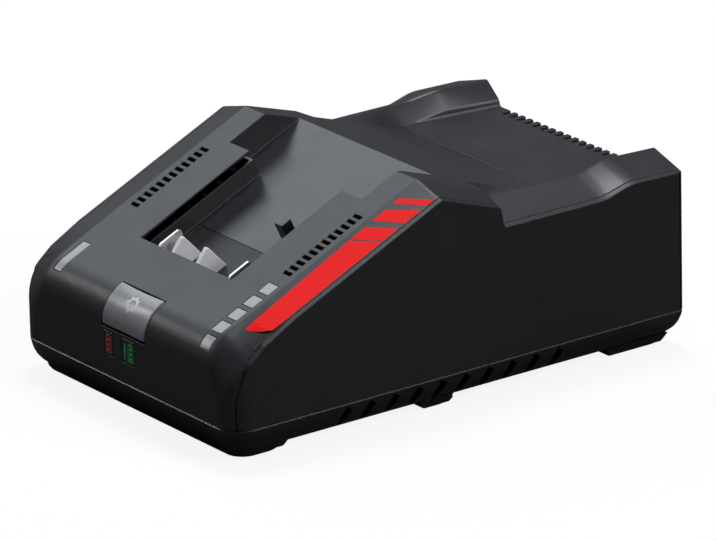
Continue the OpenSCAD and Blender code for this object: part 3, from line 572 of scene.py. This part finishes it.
def moulded(name, dark, light, rough, size=0.45, depth=0.02, dusty=0.0, specular=0.5):
    # a moulded plastic: size of its grain in mm, depth of the grain in mm, and dust on it
    made, tree, shader, here = new_finish(name)
    skin = placed(tree, grain, here, Scale=1000.0 / size)
    fallen = placed(tree, dust, here, Amount=dusty)
    worn = placed(tree, scuffs, here)
    tone = tinted(tree, skin.outputs["Shade"], dark, light)
    greyed = tuple(0.5 * c + 0.10 for c in light)
    tree.links.new(tinted(tree, fallen.outputs["Mask"], tone, greyed), shader.inputs["Base Color"])
    gloss = remapped(tree, skin.outputs["Gloss"], 0.0, 1.0, rough - 0.015, rough + 0.02)
    gloss = arithmetic(tree, "ADD", gloss, arithmetic(tree, "MULTIPLY", fallen.outputs["Mask"], 0.5))
    gloss = arithmetic(tree, "ADD", gloss, arithmetic(tree, "MULTIPLY", worn.outputs["Mask"], 0.08))
    tree.links.new(gloss, shader.inputs["Roughness"])
    shader.inputs["Specular IOR Level"].default_value = specular
    embossed(tree, shader, skin.outputs["Height"], depth)
    return made


def painted(obj, *materials):
    obj.data.materials.clear()
    for made in materials:
        obj.data.materials.append(made)
    for face in obj.data.polygons:
        face.material_index = 0
    return obj


cover = roof_solid("upper_cover", 0.0, 0.0, seam_z + 0.1)
carve(cover, roof_solid("hollow", wall, panel_t + panel_gap + wall, seam_z - 2))

# bay in the slope frame: half widths, then distances up the deck, then heights
bay_half, groove_half, bay_depth = 27.0, 38.6, 10.6
rail_rear, bay_front = -16.8, -67.8
rail_t, groove_floor, ledge_t, bay_wall = 1.2, 4.0, 2.0, 2.2
bay_out, groove_out = bay_depth + bay_wall, groove_half + bay_wall
bay_start, rail_end = bay_front - bay_wall, rail_rear + 1
ledge_low = groove_floor + ledge_t
floor_end = bay_depth / math.tan(deck_angle + rear_angle) - 2
bay_back = floor_end + 12
walls = []
for s in (-1, 1):
    for x0, x1, y0, y1, z0, z1 in (
            (bay_half, bay_half + bay_wall, bay_start, rail_end, -bay_out, -groove_floor),
            (bay_half, groove_out, bay_start, rail_end, -ledge_low, -groove_floor),
            (groove_half, groove_out, bay_start, rail_end, -ledge_low, -rail_t),
            (bay_half, groove_out, rail_rear - bay_wall + 1, rail_end, -bay_out, -groove_floor)):
        walls.append(block((min(s * x0, s * x1), y0, z0), (max(s * x0, s * x1), y1, z1), True))
    end_wall = [(rail_rear - 1, -bay_out), (rail_rear - 1, -1.0), (-0.7, -1.0),
                (floor_end + 0.2, -bay_depth), (floor_end + 0.2, -bay_out)]
    walls.append(upright("end_wall", s * (groove_half + bay_wall / 2), bay_wall, end_wall))
for x, y0, y1, z1 in ((bay_half + bay_wall, bay_start, rail_rear, -bay_depth),
                      (groove_out, rail_rear - bay_wall, floor_end + 1.9, -bay_depth),
                      (groove_out, bay_start, bay_front, -rail_t)):
    walls.append(block((-x, y0, -bay_out), (x, y1, z1), True))
for part in walls:
    carve(cover, part, "UNION")
carve(cover, block((-bay_half, bay_front, -bay_depth), (bay_half, bay_back, over), True))
carve(cover, block((-groove_half, rail_rear, -bay_depth), (groove_half, bay_back, over), True))
# a fine line across the rear deck
line_half, line_t = 41, 0.35
carve(cover, block((-line_half, saddle_y + 36.2, rear_deck_z - line_t),
                   (line_half, saddle_y + 36.75, rear_deck_z + over)))
# grooves under the rails, open towards the bay
for s in (-1, 1):
    x0, x1 = sorted((s * (bay_half - 1), s * groove_half))
    carve(cover, block((x0, bay_front, -groove_floor), (x1, rail_end, -rail_t), True))

# air slots in the grooves and beside the bay, and along the rear edge
groove_slots, groove_slot_pitch, groove_slot_l = 7, 7.1, 5.6
deck_slots, deck_slot_pitch, deck_slot_w, deck_slot_l = 12, 2.95, 1.5, 4.4
rear_slots, rear_slot_pitch = 16, 4.4
light_x = 45.0
air = []
for s in (-1, 1):
    for i in range(groove_slots):
        x0, x1 = sorted((s * (bay_half + 1.1), s * (bay_half + 7.0)))
        y0 = rail_rear - 6.6 - i * groove_slot_pitch
        air.append(block((x0, y0, -ledge_low - 1), (x1, y0 + groove_slot_l, -groove_floor + 0.5), True))
    for i in range(deck_slots):
        y0 = bay_front + 10.6 + i * deck_slot_pitch
        air.append(block((s * light_x - deck_slot_l / 2, y0, -wall - 2),
                         (s * light_x + deck_slot_l / 2, y0 + deck_slot_w, over), True))
for i in range(rear_slots):
    x = (i - (rear_slots - 1) / 2) * rear_slot_pitch
    air.append(block((x - 1, rear_y - wall - 2, seam_z + 12), (x + 1, rear_y + over, rear_deck_z + over)))
carve(cover, joined(air, "air"))

# the opening for the contact carrier, and the key block that stands behind it
carrier_front, carrier_l, carrier_half, carrier_gap = bay_front + 1.8, 19.6, 25.0, 0.2
carve(cover, block((-carrier_half - carrier_gap, carrier_front - carrier_gap, -bay_out - 1),
                   (carrier_half + carrier_gap, carrier_front + carrier_l + carrier_gap, -bay_depth + 1),
                   True))
key_low = (10.3, bay_front + 30.6, -bay_depth - 0.5)
key_high = (14.9, bay_front + 34.9, -bay_depth + 6.2)
carve(cover, block(key_low, key_high, True), "UNION")

# openings for the lenses, the button and the indicators, and for the cord gland
level_w, level_l, level_pitch = 5.4, 5.2, 7.2
level_middles = [nose_arc + 1.4 + (i - 1) * level_pitch for i in range(5)]
level_heads = [(u - level_l / 2, u + level_l / 2) for u in level_middles]
pipe_w, pipe_u = 4.0, (10.5, 25.4)
button_half, button_u, button_gap = 12.4, (0.4, 16.9), 0.8
window_z, window_h = nose_z - 6, 8.6
window_low, window_high = window_z - window_h / 2, window_z + window_h / 2
window_red, window_green = (-9.0, 5.0), (2.6, 7.0)
gland_x, gland_r = 36.0, 6.2
fit = 0.12


def lens_slab(name, x, w, u, grow, t0, t1):
    # a lens w wide about x that reaches over u, or with grow the opening for it
    return skin_patch(name, x - w / 2 - grow, x + w / 2 + grow, u[0] - grow, u[1] + grow, t0, t1)


lights = [lens_slab("hole", light_x, level_w, u, fit, -3, wall + 2) for u in level_heads]
lights.append(lens_slab("hole", -light_x, pipe_w, pipe_u, fit, -3, wall + 2))
lights.append(skin_patch("hole", -button_half - button_gap / 2, button_half + button_gap / 2,
                         button_u[0] - button_gap, button_u[1] + button_gap / 2, -3, wall + 2))
for x, w in (window_red, window_green):
    lights.append(block((x - w / 2 - fit, front_y - over, window_low - fit),
                        (x + w / 2 + fit, front_y + wall + 2, window_high + fit)))
carve(cover, joined(lights, "openings"))
carve(cover, rod(gland_r + 0.1, 20, (gland_x, rear_y - 14, seam_z), (0, 1, 0), 48))

# shallow pockets in both flanks, which take the side panels
panel_rear_y = 94.6
panel_nose = [(13.0, -92.6), (14.2, -92.8), (20.9, -93.0), (26.6, -92.2), (33.4, -90.4), (37.2, -88.2),
              (41.4, -85.2), (90.0, -60.0)]


def panel_solid(name, grow, side):
    # grow 0 is the panel; otherwise it is the pocket, wider all round and open at its outer side
    low = seam_z + 0.08 - (2.0 if grow else 0.0)
    rise = 7.0 if grow else 0.0
    columns = [y for y in stations(0) if -84.6 < y < panel_rear_y - 0.3] + [panel_rear_y + grow]
    rows, lead = 8, 10
    sheets = []
    for depth in (-2.0 if grow else 0.0, panel_t + grow):
        sheet = []
        for j in range(rows + 1):
            k = j / rows
            start = -90.0
            for _ in range(15):
                start = between(low + (edge_z(start) + rise - low) * k, panel_nose) - grow
            ys = [start + (columns[0] - start) * n / lead for n in range(lead)] + columns
            row = []
            for y in ys:
                lip = 0.0
                if depth > 0 and not grow:
                    lip = (ridge_z(y) - edge_z(y)) * panel_t / (half_w - ridge_x(y))
                row.append((side * (plan_x(y) - depth), y, low + (edge_z(y) + rise + lip - low) * k))
            sheet.append(row)
        sheets.append(sheet)
    outer, inner = sheets
    wrap = lofted(name, [o + i[::-1] + [o[0]] for o, i in zip(outer, inner)])
    foot = lofted("foot", [outer[0], inner[0]])
    top = lofted("top", [outer[-1], inner[-1]])
    return sealed(joined([wrap, foot, top], name))


for side in (-1, 1):
    carve(cover, panel_solid("pocket", panel_gap, side))
tidy_faces(cover)
finish_edges(cover, 0.24, 2, 35, False)
roof_shading(cover)

# a fine-grained plastic all over, and on the floor of the bay a smoother copy of it whose colour is painted
# slightly paler, a painted sheen for the light that falls on that floor
cover_plastic = moulded("cover_plastic", (0.0105, 0.0115, 0.0135), (0.014, 0.015, 0.0175), 0.40, dusty=0.15)
bay_satin_with_painted_sheen = moulded("bay_satin_with_painted_sheen", (0.014, 0.015, 0.0175), (0.018, 0.019, 0.022), 0.30,
                      depth=0.008, dusty=0.15)
painted(cover, cover_plastic, bay_satin_with_painted_sheen)
# the faces of the bay floor that look up take the paler copy: painted sheen
for face in cover.data.polygons:
    p = face.center / mm
    along = (p.y - crest_y) * math.cos(deck_angle) + (p.z - crest_z) * math.sin(deck_angle)
    height = (p.z - crest_z) * math.cos(deck_angle) - (p.y - crest_y) * math.sin(deck_angle)
    inside = abs(p.x) < groove_half + 0.1 and bay_front < along < floor_end + 3
    floor = inside and -bay_depth - 0.3 < height < -3 and face.normal.z > 0.5
    face.material_index = 1 if floor else 0
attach(cover, "charger_body")
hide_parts("upper_housing")

# 3. Side panels
# Two long inserts in a blacker, softer-looking nylon, one on each side. Each drops into a shallow
# pocket of the cover, flush with it, and clips in, so only a fine dark joint runs round it.
panel_plastic = moulded("panel_plastic", (0.0055, 0.006, 0.0068), (0.0072, 0.0077, 0.009), 0.48,
                        depth=0.03, dusty=0.04)
for side, node in ((1, "side_panel_right"), (-1, "side_panel_left")):
    panel = finish_edges(tidy_faces(panel_solid(node + "_skin", 0.0, side)), 0.35, 3)
    painted(panel, panel_plastic)
    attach(panel, "charger_body")
    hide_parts(node)

# 4. Lower housing
# The tray: one black nylon moulding with slanted air slots along both sides, a set-back plinth under
# the nose, bosses for the screws and posts for the board. It closes the cover from below.
base_z, land_z, tray_wall, foot_depth = 4.0, 1.2, 3.2, 1.0
feet = [(50.0, -79.0, 11.0, 13.0), (53.5, -8.0, 8.0, 8.0), (52.0, 78.0, 11.0, 20.0)]
screw_places = [(s * 55.4, y) for s in (-1, 1) for y in (-66.0, 4.0, 62.0)]
post_places = [(s * 46.0, y) for s in (-1, 1) for y in (-60.0, 40.0)]
boss_r, screw_hole_r, head_hole_r = 4.6, 1.9, 3.7
post_r, post_hole_r = 3.4, 1.3
side_slots, side_slot_pitch, side_slot_lean = 10, 10, -32


def tray_ring(inset, z, y_end=None):
    # the plan outline, pulled in by inset: generous corners at the nose, tight ones at the rear
    points = []
    front, rear = max(corner_front - inset * 0.5, 0.6), corner_rear + inset * 0.8
    for sx, sy, r, steps in ((1, -1, front, 10), (1, 1, rear, 6), (-1, 1, rear, 6), (-1, -1, front, 10)):
        cx = sx * (half_w - inset - r)
        cy = front_y + inset + r if sy < 0 else (rear_y if y_end is None else y_end) - inset - r
        start = {(1, -1): -90, (1, 1): 0, (-1, 1): 90, (-1, -1): 180}[(sx, sy)]
        for k in range(steps + 1):
            a = math.radians(start + 90 * k / steps)
            points.append((cx + r * math.cos(a), cy + r * math.sin(a), z))
    return points


def oblong(x, y, reach_x, reach_y, z):
    # the corners of a level rectangle about x and y
    return [(x + a * reach_x, y + b * reach_y, z) for a, b in ((-1, -1), (1, -1), (1, 1), (-1, 1))]


tray_skin = [(0.4, seam_z), (0.0, seam_z - 0.45), (0.35, 10.5), (0.9, 8.5), (1.6, 7.0), (2.3, 6.0),
             (3.2, 5.0), (4.0, 4.3), (4.6, base_z)]
tray = prism("tray", [tray_ring(inset, z) for inset, z in tray_skin])
carve(tray, prism("room", [tray_ring(tray_wall, seam_z + 1), tray_ring(tray_wall + 0.6, 8.5),
                           tray_ring(tray_wall + 3.6, 6.2)]))
carve(tray, prism("plinth", [tray_ring(4.4, base_z + 0.6, -66.0), tray_ring(4.9, 2.4, -66.0),
                             tray_ring(5.8, land_z, -66.0)]), "UNION")
land_rim, land_slant = 1.5, [(1.8, base_z + 0.5), (0.5, land_z + 0.8), (0.0, land_z)]
for x, y, w, l in feet:
    for s in (-1, 1):
        land = [oblong(s * x, y, w / 2 + land_rim + a, l / 2 + land_rim + a, z) for a, z in land_slant]
        carve(tray, prism("land", land), "UNION")
for x, y in screw_places:
    carve(tray, rod(boss_r, seam_z - base_z - 0.6, (x, y, base_z + 0.5)), "UNION")
for x, y in post_places:
    carve(tray, rod(post_r, 6.5, (x, y, base_z + 0.5)), "UNION")
cuts = []
for x, y, w, l in feet:
    for s in (-1, 1):
        cuts.append(block((s * x - w / 2 - 0.1, y - l / 2 - 0.1, land_z - over),
                          (s * x + w / 2 + 0.1, y + l / 2 + 0.1, land_z + foot_depth)))
for x, y in screw_places:
    cuts.append(rod(head_hole_r, 8.4 + over, (x, y, -over)))
for s in (-1, 1):
    for i in range(side_slots):
        slot = block((-4.5 if s < 0 else -3.0, -1.5, -4.4), (3.0 if s < 0 else 4.5, 1.5, 4.4))
        place = Vector((s * (half_w - 1.5), front_y + 46 + i * side_slot_pitch, base_z + 3.4)) * mm
        leaned = Matrix.Rotation(math.radians(side_slot_lean), 4, "X")
        slot.data.transform(Matrix.Translation(place) @ leaned)
        cuts.append(slot)
carve(tray, joined(cuts, "cuts"))
for x, y in screw_places:
    carve(tray, rod(screw_hole_r, 40, (x, y, -over)))
for x, y in post_places:
    carve(tray, rod(post_hole_r, 40, (x, y, base_z + 2)))
carve(tray, rod(gland_r + 0.1, 20, (gland_x, rear_y - 14, seam_z), (0, 1, 0), 48))
finish_edges(tidy_faces(tray), 0.3)
painted(tray, moulded("tray_plastic", (0.0055, 0.006, 0.007), (0.0075, 0.008, 0.009), 0.36, dusty=0.04))
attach(tray, "charger_body")
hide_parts("lower_housing")

# 5. Feet
# Six black rubber pads, each pressed into a shallow pocket of the tray. They stand a good millimetre
# proud of it, so that the charger grips the bench.
pads = []
for x, y, w, l in feet:
    for s in (-1, 1):
        rings = [oblong(s * x, y, w / 2 - inset, l / 2 - inset, z)
                 for inset, z in ((0.5, 0.0), (0.1, 0.5), (0.0, land_z + foot_depth))]
        pads.append(finish_edges(prism("pad", rings), 0.5, 3))
pads = joined(pads, "foot_pads")
painted(pads, moulded("foot_rubber", (0.012, 0.012, 0.012), (0.02, 0.02, 0.02), 0.75,
                      size=0.8, depth=0.05))
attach(pads, "charger_body")
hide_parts("rubber_feet")

# 6. Mode button
# A pale grey moulded key with a shallow dish, set into the nose. Two ears catch it behind the cover,
# and a nub on its back presses the switch plunger. A gear is printed on it.
dish, proud = 0.55, 0.4
button = skin_patch("mode_key", -button_half, button_half, *button_u, -proud, 2.0, across=12, dish=dish)
finish_edges(button, 0.45, 3)
back = skin_patch("slab", -10.8, 10.8, button_u[0] + 3, button_u[1] - 3, 1.9, 3.9)
ears = skin_patch("ears", -14.4, 14.4, button_u[0] + 4, button_u[1] - 4, 2.7, 3.9)
nub = rod(2.2, 2.7, slope_point(0, -90.0, -5.1), (0, -math.sin(deck_angle), math.cos(deck_angle)), 32)
button = joined([button, back, ears, nub], "mode_key")


def inked(obj, thickness, offset=-1):
    # turns a sheet into a film of ink, thickness in mm
    return applied(obj, "SOLIDIFY", thickness=thickness * mm, offset=offset)


# the gear: rings from its toothed outline in to its round middle, laid on the dished face
gear_u, gear_r, gear_lift, teeth, steps = 10.9, 3.3, 0.03, 8, 12
tooth = [(0.0, 1.0), (0.3, 1.0), (0.42, 0.78), (0.88, 0.78), (1.0, 1.0)]
rings = []
for k in range(4):
    ring = []
    for i in range(teeth * steps):
        a = 2 * math.pi * i / (teeth * steps)
        r = gear_r * between((i % steps) / steps, tooth) * (1 - k / 3) + gear_r * 0.5 * k / 3
        x = r * math.sin(a)
        t = -proud + dish * (1 - (x / button_half) ** 2) - gear_lift
        ring.append((x, *skin_point(gear_u + r * math.cos(a), t)))
    rings.append(ring + ring[:1])
gear = inked(sealed(lofted("gear_print", rings)), 0.08)
painted(button, moulded("key_plastic", (0.26, 0.265, 0.275), (0.30, 0.305, 0.315), 0.28,
                        size=0.3, depth=0.006))
painted(gear, moulded("gear_ink", (0.62, 0.62, 0.63), (0.70, 0.70, 0.71), 0.5,
                      size=0.2, depth=0.004))
for piece in (button, gear):
    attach(piece, "mode_button")
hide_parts("mode_button")

# 7. Light pipes
# Frosted clear polycarbonate. Five square heads on the right show the charge level, and one long
# head on the left gives the alert. A rib behind the cover ties each set together.
heads = [finish_edges(lens_slab("head", light_x, level_w, u, 0, 0.02, wall + 1), 0.25) for u in level_heads]
rib = skin_patch("rib", light_x - level_w / 2 - 0.8, light_x + level_w / 2 + 0.8, level_heads[0][0] - 1,
                 level_heads[-1][1] + 1, wall + 0.2, wall + 2, steps=30)
level_lights = joined(heads + [rib], "level_lenses")
head = finish_edges(lens_slab("head", -light_x, pipe_w, pipe_u, 0, 0.02, wall + 1), 0.25)
rib = skin_patch("rib", -light_x - pipe_w / 2 - 0.8, -light_x + pipe_w / 2 + 0.8, pipe_u[0] - 1,
                 pipe_u[1] + 1, wall + 0.2, wall + 2)
alert_light = joined([head, rib], "alert_lens")
lens_plastic = moulded("lens_plastic", (0.27, 0.275, 0.285), (0.33, 0.335, 0.34), 0.30,
                       size=0.25, depth=0.006)
for piece, node in ((level_lights, "level_light_pipe"), (alert_light, "alert_light_pipe")):
    painted(piece, lens_plastic)
    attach(piece, "charger_body")
    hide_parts(node)

# 8. Indicator windows
# Two smoked inserts in the front face, one behind the red picture of a cell and one behind the green.
# The pictures are screened on, so they read even when the lights behind them are off.
smoke = moulded("smoked_window", (0.006, 0.006, 0.007), (0.009, 0.009, 0.010), 0.16, depth=0.002)


def bars(name, boxes, cx, cz):
    # flat ink from boxes of (x0, z0, x1, z1) about a centre
    parts = [block((cx + x0, front_y, cz + z0), (cx + x1, front_y + 0.2, cz + z1))
             for x0, z0, x1, z1 in boxes]
    obj = parts[0]
    for part in parts[1:]:
        carve(obj, part, "UNION")
    obj.name = name
    return obj


def cell_boxes(w, h, line):
    # a battery sign: its frame, its cap and three bars
    boxes = [(-w, -h, w, -h + line), (-w, h - line, w, h), (-w, -h, -w + line, h),
             (w - line, -h, w, h), (-w * 0.45, h - 0.05, w * 0.45, h + 0.7)]
    for i in range(3):
        low = -h + 2 * line + i * 1.75
        boxes.append((-w + 2 * line, low, w - 2 * line, low + 1.1))
    return boxes


cell = cell_boxes(1.6, 3.1, 0.35)
rim_w = 0.8
bolt = [(-0.5, 0.2, 0.5, 3.0), (-0.9, -0.2, 0.4, 0.5), (-0.4, -2.8, 0.3, 0.2)]
red_ink = moulded("red_ink", (0.62, 0.05, 0.07), (0.70, 0.06, 0.08), 0.4, size=0.2, depth=0.004)
green_ink = moulded("green_ink", (0.035, 0.50, 0.10), (0.045, 0.58, 0.12), 0.4, size=0.2,
                    depth=0.004)
for (x, w), node, ink, marks in ((window_red, "red_window", red_ink, [(0.0, cell)]),
                                 (window_green, "green_window", green_ink, [(1.4, cell), (-1.9, bolt)])):
    glass = block((x - w / 2, front_y + 0.06, window_low), (x + w / 2, front_y + wall, window_high))
    rim = block((x - w / 2 - rim_w, front_y + wall - 0.1, window_low - rim_w),
                (x + w / 2 + rim_w, front_y + wall + 1.2, window_high + rim_w))
    glass = joined([finish_edges(glass, 0.2), rim], node + "_glass")
    painted(glass, smoke)
    for dx, boxes in marks:
        mark = bars(node + "_mark", boxes, x + dx, window_z - 0.3)
        painted(mark, ink)
        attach(mark, "charger_body")
    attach(glass, "charger_body")
    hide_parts(node)

# 9. Red band
# Ink screened on the right shoulder of the deck: a long solid bar with a slanted front, then three
# short blocks behind it. It follows the chamfer and is only a tenth of a millimetre thick.
band_out, band_lift, band_t = 61.75, 0.04, 0.1
band_in = [(-82.6, 53.5), (-16.9, 51.6)]
band_bars = [([(53.4, -82.6), (58.6, -79.9), (61.8, -77.3)], [(53.0, -37.8), (61.8, -31.2)], 28),
             ([(53.0, -37.2), (61.8, -30.6)], [(52.8, -31.0), (61.8, -24.4)], 8),
             ([(52.4, -28.1), (61.8, -21.4)], [(52.0, -22.8), (61.8, -14.6)], 8),
             ([(52.2, -19.3), (61.8, -12.2)], [(51.8, -16.9), (61.8, -9.2)], 5)]
band_middle = between(-40, band_in)
inks = []
for front_edge, rear_edge, rows in band_bars:
    sheet = []
    for j in range(rows + 1):
        row = []
        for i in range(9):
            x = band_middle + (band_out - band_middle) * i / 8
            y = between(x, front_edge) + (between(x, rear_edge) - between(x, front_edge)) * j / rows
            x = between(y, band_in) + (band_out - between(y, band_in)) * i / 8
            section = [(-px, pz) for px, pz in half_section(y, 0.0, 0.0, seam_z)]
            row.append((x, y, between(-x, section) + band_lift))
        sheet.append(row)
    ink = sealed(lofted("band", sheet))
    inks.append(inked(ink, band_t, -1 if ink.data.polygons[0].normal.z > 0 else 1))
band = joined(inks, "red_band")
painted(band, moulded("band_ink", (0.80, 0.0015, 0.001), (0.86, 0.0025, 0.0015), 0.5,
                      size=0.35, depth=0.006, specular=0.12))
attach(band, "charger_body")

# 10. Bay contacts
# Two blades of nickel-plated copper stand at the outside of the row and two pale plastic fins between
# them guide the pack. They rise from a black insulating block let into the floor of the bay.
fin_tops, fin_l = -0.4, -57.6
fins = []
for x in (-12.4, 2.0):
    outline = [(bay_front + 0.6, -bay_depth - 1), (bay_front + 0.6, -4.0), (fin_l - 3.4, fin_tops - 0.3),
               (fin_l - 2.8, fin_tops), (fin_l - 2.2, fin_tops - 0.5), (fin_l + 0.6, -bay_depth + 1.2),
               (fin_l + 1.4, -bay_depth - 1)]
    fins.append(finish_edges(upright("fin", x, 2.2, outline), 0.35, 3))
fins = joined(fins, "pack_fins")
painted(fins, moulded("fin_plastic", (0.70, 0.70, 0.72), (0.76, 0.76, 0.78), 0.35, depth=0.005))

# each blade has a foot under the block that reaches down to the main board
blades = []
for x in (-17.5, 23.7):
    outline = [(bay_front + 2.2, -bay_out - 4), (bay_front + 2.2, -bay_depth),
               (bay_front + 0.4, -bay_depth + 0.6), (bay_front + 0.4, -1.4), (bay_front + 1.4, -0.7),
               (fin_l - 0.6, -0.7), (fin_l + 0.2, -1.5), (fin_l + 0.2, -3.4), (fin_l - 0.8, -4.2),
               (fin_l - 0.8, -bay_out - 4)]
    blades.append(finish_edges(upright("blade", x, 1.0, outline), 0.12))
    tail_y, tail_z = slope_point(0, carrier_front + 1.1, -bay_out - 4)[1:]
    tail = block((x - 0.5, tail_y + 2.5, 12.6), (x + 0.5, tail_y + 5.5, tail_z + 2.4))
    blades.append(finish_edges(tail, 0.1))
blades = joined(blades, "outer_blades")


def metal(name, dark, light, rough, brush=(900.0, 900.0, 40.0), depth=0.004):
    # a drawn or stamped metal with its fine lines along one axis and a thin uneven tarnish
    made, tree, shader, here = new_finish(name)
    place = tree.nodes.new("ShaderNodeMapping")
    place.inputs["Scale"].default_value = brush
    tree.links.new(here, place.inputs["Vector"])
    lines = noise(tree, place.outputs["Vector"], 1.0, 4, 0.6)
    tarnish = remapped(tree, noise(tree, here, 130.0, 4, 0.6), 0.4, 0.75)
    tree.links.new(tinted(tree, tarnish, light, dark), shader.inputs["Base Color"])
    tree.links.new(remapped(tree, lines, 0.3, 0.7, rough - 0.06, rough + 0.1), shader.inputs["Roughness"])
    shader.inputs["Metallic"].default_value = 1.0
    embossed(tree, shader, lines, depth)
    return made


painted(blades, metal("nickel_plate", (0.62, 0.61, 0.58), (0.82, 0.81, 0.79), 0.42))
for piece, node in ((fins, "guide_fins"), (blades, "outer_contacts")):
    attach(piece, "charger_body")
    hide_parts(node)


def repaint(node, material):
    # gives a piece that comes from the CAD as it is its own finish
    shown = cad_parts[node]
    if not shown.data.materials:
        shown.data.materials.append(material)
    for i in range(len(shown.data.materials)):
        shown.data.materials[i] = material


repaint("contact_carrier", moulded("carrier_plastic", (0.010, 0.0105, 0.012), (0.014, 0.0145, 0.016), 0.42,
                                   depth=0.008, dusty=0.15, specular=0.3))

# 11. Switch and display board
# Under the nose a small green board carries the push switch and the lamps behind the lenses. Its
# switch has a black body and a plunger that the mode button presses. A ribbon joins it to the main board.


def board_laminate(name, dark, light, pitch):
    # glass laminate under lacquer, with faint raised copper tracks that run along X and Y
    made, tree, shader, here = new_finish(name)
    cells = tree.nodes.new("ShaderNodeTexVoronoi")
    cells.distance = "MANHATTAN"
    cells.feature = "F1"
    cells.inputs["Scale"].default_value = 1000.0 / pitch
    tree.links.new(here, cells.inputs["Vector"])
    tracks = remapped(tree, cells.outputs["Distance"], 0.42, 0.5)
    tree.links.new(tinted(tree, tracks, dark, light), shader.inputs["Base Color"])
    gloss = remapped(tree, noise(tree, here, 300.0, 3), 0.3, 0.7, 0.26, 0.4)
    tree.links.new(gloss, shader.inputs["Roughness"])
    embossed(tree, shader, tracks, 0.035)
    return made


black_case = moulded("device_epoxy", (0.012, 0.012, 0.013), (0.022, 0.022, 0.023), 0.45,
                     size=0.3, depth=0.01)
repaint("display_board", board_laminate("board_lacquer", (0.008, 0.07, 0.03), (0.015, 0.12, 0.05), 3.2))
repaint("tact_switch", black_case)
repaint("switch_plunger", moulded("plunger_plastic", (0.16, 0.16, 0.16), (0.2, 0.2, 0.2), 0.35))
repaint("display_leds", moulded("led_epoxy", (0.62, 0.62, 0.56), (0.7, 0.7, 0.64), 0.2,
                                depth=0.003))


def wound(name, dark, light, pitch, across=(0, 0, 1), rough=0.3, metallic=0.0):
    # turns of wire or ribs of cable side by side: pitch in mm, measured along the axis across
    made, tree, shader, here = new_finish(name)
    dot = tree.nodes.new("ShaderNodeVectorMath")
    dot.operation = "DOT_PRODUCT"
    dot.inputs[1].default_value = Vector(across).normalized() * (math.pi * 2000 / pitch)
    tree.links.new(here, dot.inputs[0])
    wave = arithmetic(tree, "SINE", arithmetic(tree, "MULTIPLY", dot.outputs["Value"], 0.5), 0.0)
    height = arithmetic(tree, "ABSOLUTE", wave, 0.0)
    uneven = remapped(tree, noise(tree, here, 500.0, 3), 0.3, 0.7, 0.75, 1.0)
    # the colour darkens into the grooves between the turns, as painted shade over the bump
    shade = arithmetic(tree, "MULTIPLY", height, uneven)
    tree.links.new(tinted(tree, shade, dark, light), shader.inputs["Base Color"])
    tree.links.new(remapped(tree, shade, 0.0, 1.0, rough + 0.2, rough), shader.inputs["Roughness"])
    shader.inputs["Metallic"].default_value = metallic
    embossed(tree, shader, height, pitch * 0.3)
    return made


repaint("board_link", wound("ribbon_cable", (0.13, 0.13, 0.135), (0.3, 0.3, 0.31), 1.27, (1, 0, 0), 0.4))

# 12. Main board and power parts
# A green laminate on four posts carries the transformer, the capacitors, the chokes and two aluminium
# heat sinks with their power devices. A sheet of fish paper lies under it.
repaint("main_board", board_laminate("main_board_lacquer", (0.01, 0.055, 0.028), (0.016, 0.09, 0.045), 4.5))
repaint("insulating_sheet", moulded("fish_paper", (0.16, 0.17, 0.16), (0.22, 0.23, 0.22), 0.6,
                                    size=0.9, depth=0.03))
sleeve = moulded("capacitor_sleeve", (0.012, 0.014, 0.03), (0.02, 0.022, 0.045), 0.25,
                 size=0.8, depth=0.004)
aluminium = metal("sink_aluminium", (0.42, 0.42, 0.43), (0.6, 0.6, 0.61), 0.36, (60.0, 60.0, 1500.0), 0.006)
for node, material in (
        ("transformer_core", moulded("ferrite", (0.018, 0.018, 0.019), (0.035, 0.034, 0.034), 0.5,
                                     size=0.5, depth=0.02)),
        ("transformer_bobbin", moulded("bobbin_plastic", (0.02, 0.02, 0.02), (0.035, 0.035, 0.035), 0.4)),
        ("transformer_winding", wound("transformer_tape", (0.42, 0.26, 0.02), (0.62, 0.42, 0.05), 9.0,
                                      rough=0.32)),
        ("bulk_capacitor", sleeve),
        ("output_capacitors", sleeve),
        ("heatsink_primary", aluminium),
        ("heatsink_secondary", aluminium),
        ("power_devices", black_case),
        ("bridge_rectifier", black_case),
        ("mains_choke", wound("copper_turns", (0.12, 0.03, 0.01), (0.62, 0.22, 0.07), 0.6,
                              rough=0.28, metallic=0.85)),
        ("output_choke", wound("thick_copper_turns", (0.12, 0.03, 0.01), (0.62, 0.22, 0.07), 1.4,
                               rough=0.28, metallic=0.85)),
        ("x_capacitor", moulded("film_capacitor_case", (0.55, 0.36, 0.03), (0.66, 0.46, 0.05), 0.35)),
        ("fuse", moulded("fuse_ceramic", (0.52, 0.5, 0.46), (0.62, 0.6, 0.56), 0.3, depth=0.01)),
        ("mains_terminal", moulded("terminal_plastic", (0.05, 0.20, 0.09), (0.07, 0.27, 0.12), 0.35))):
    repaint(node, material)

# 13. Fan
# A black axial fan stands upright before the slots of the rear wall. Its rotor turns on a short shaft
# in the frame, and a wall with a round mouth makes it draw the air across the boards.
repaint("fan_frame", moulded("fan_frame_plastic", (0.012, 0.012, 0.012), (0.02, 0.02, 0.021), 0.4,
                             dusty=0.1))
repaint("fan_rotor", moulded("rotor_plastic", (0.018, 0.018, 0.018), (0.028, 0.028, 0.029), 0.35,
                             dusty=0.2))
repaint("fan_baffle", moulded("baffle_plastic", (0.03, 0.03, 0.032), (0.045, 0.045, 0.048), 0.45,
                              dusty=0.1))

# 14. Cord gland and screws
# A black rubber gland lines the round hole in the rear wall. Six steel screws hold the housing together
# from below, four hold the main board to its posts and two hold the display board to its pegs.
repaint("cord_gland", moulded("gland_rubber", (0.010, 0.010, 0.010), (0.018, 0.018, 0.018), 0.65,
                              size=0.7, depth=0.03, dusty=0.05))
steel = metal("screw_steel", (0.32, 0.32, 0.33), (0.52, 0.52, 0.53), 0.3, (300.0, 300.0, 300.0))
repaint("housing_screws", steel)
repaint("board_screws", steel)
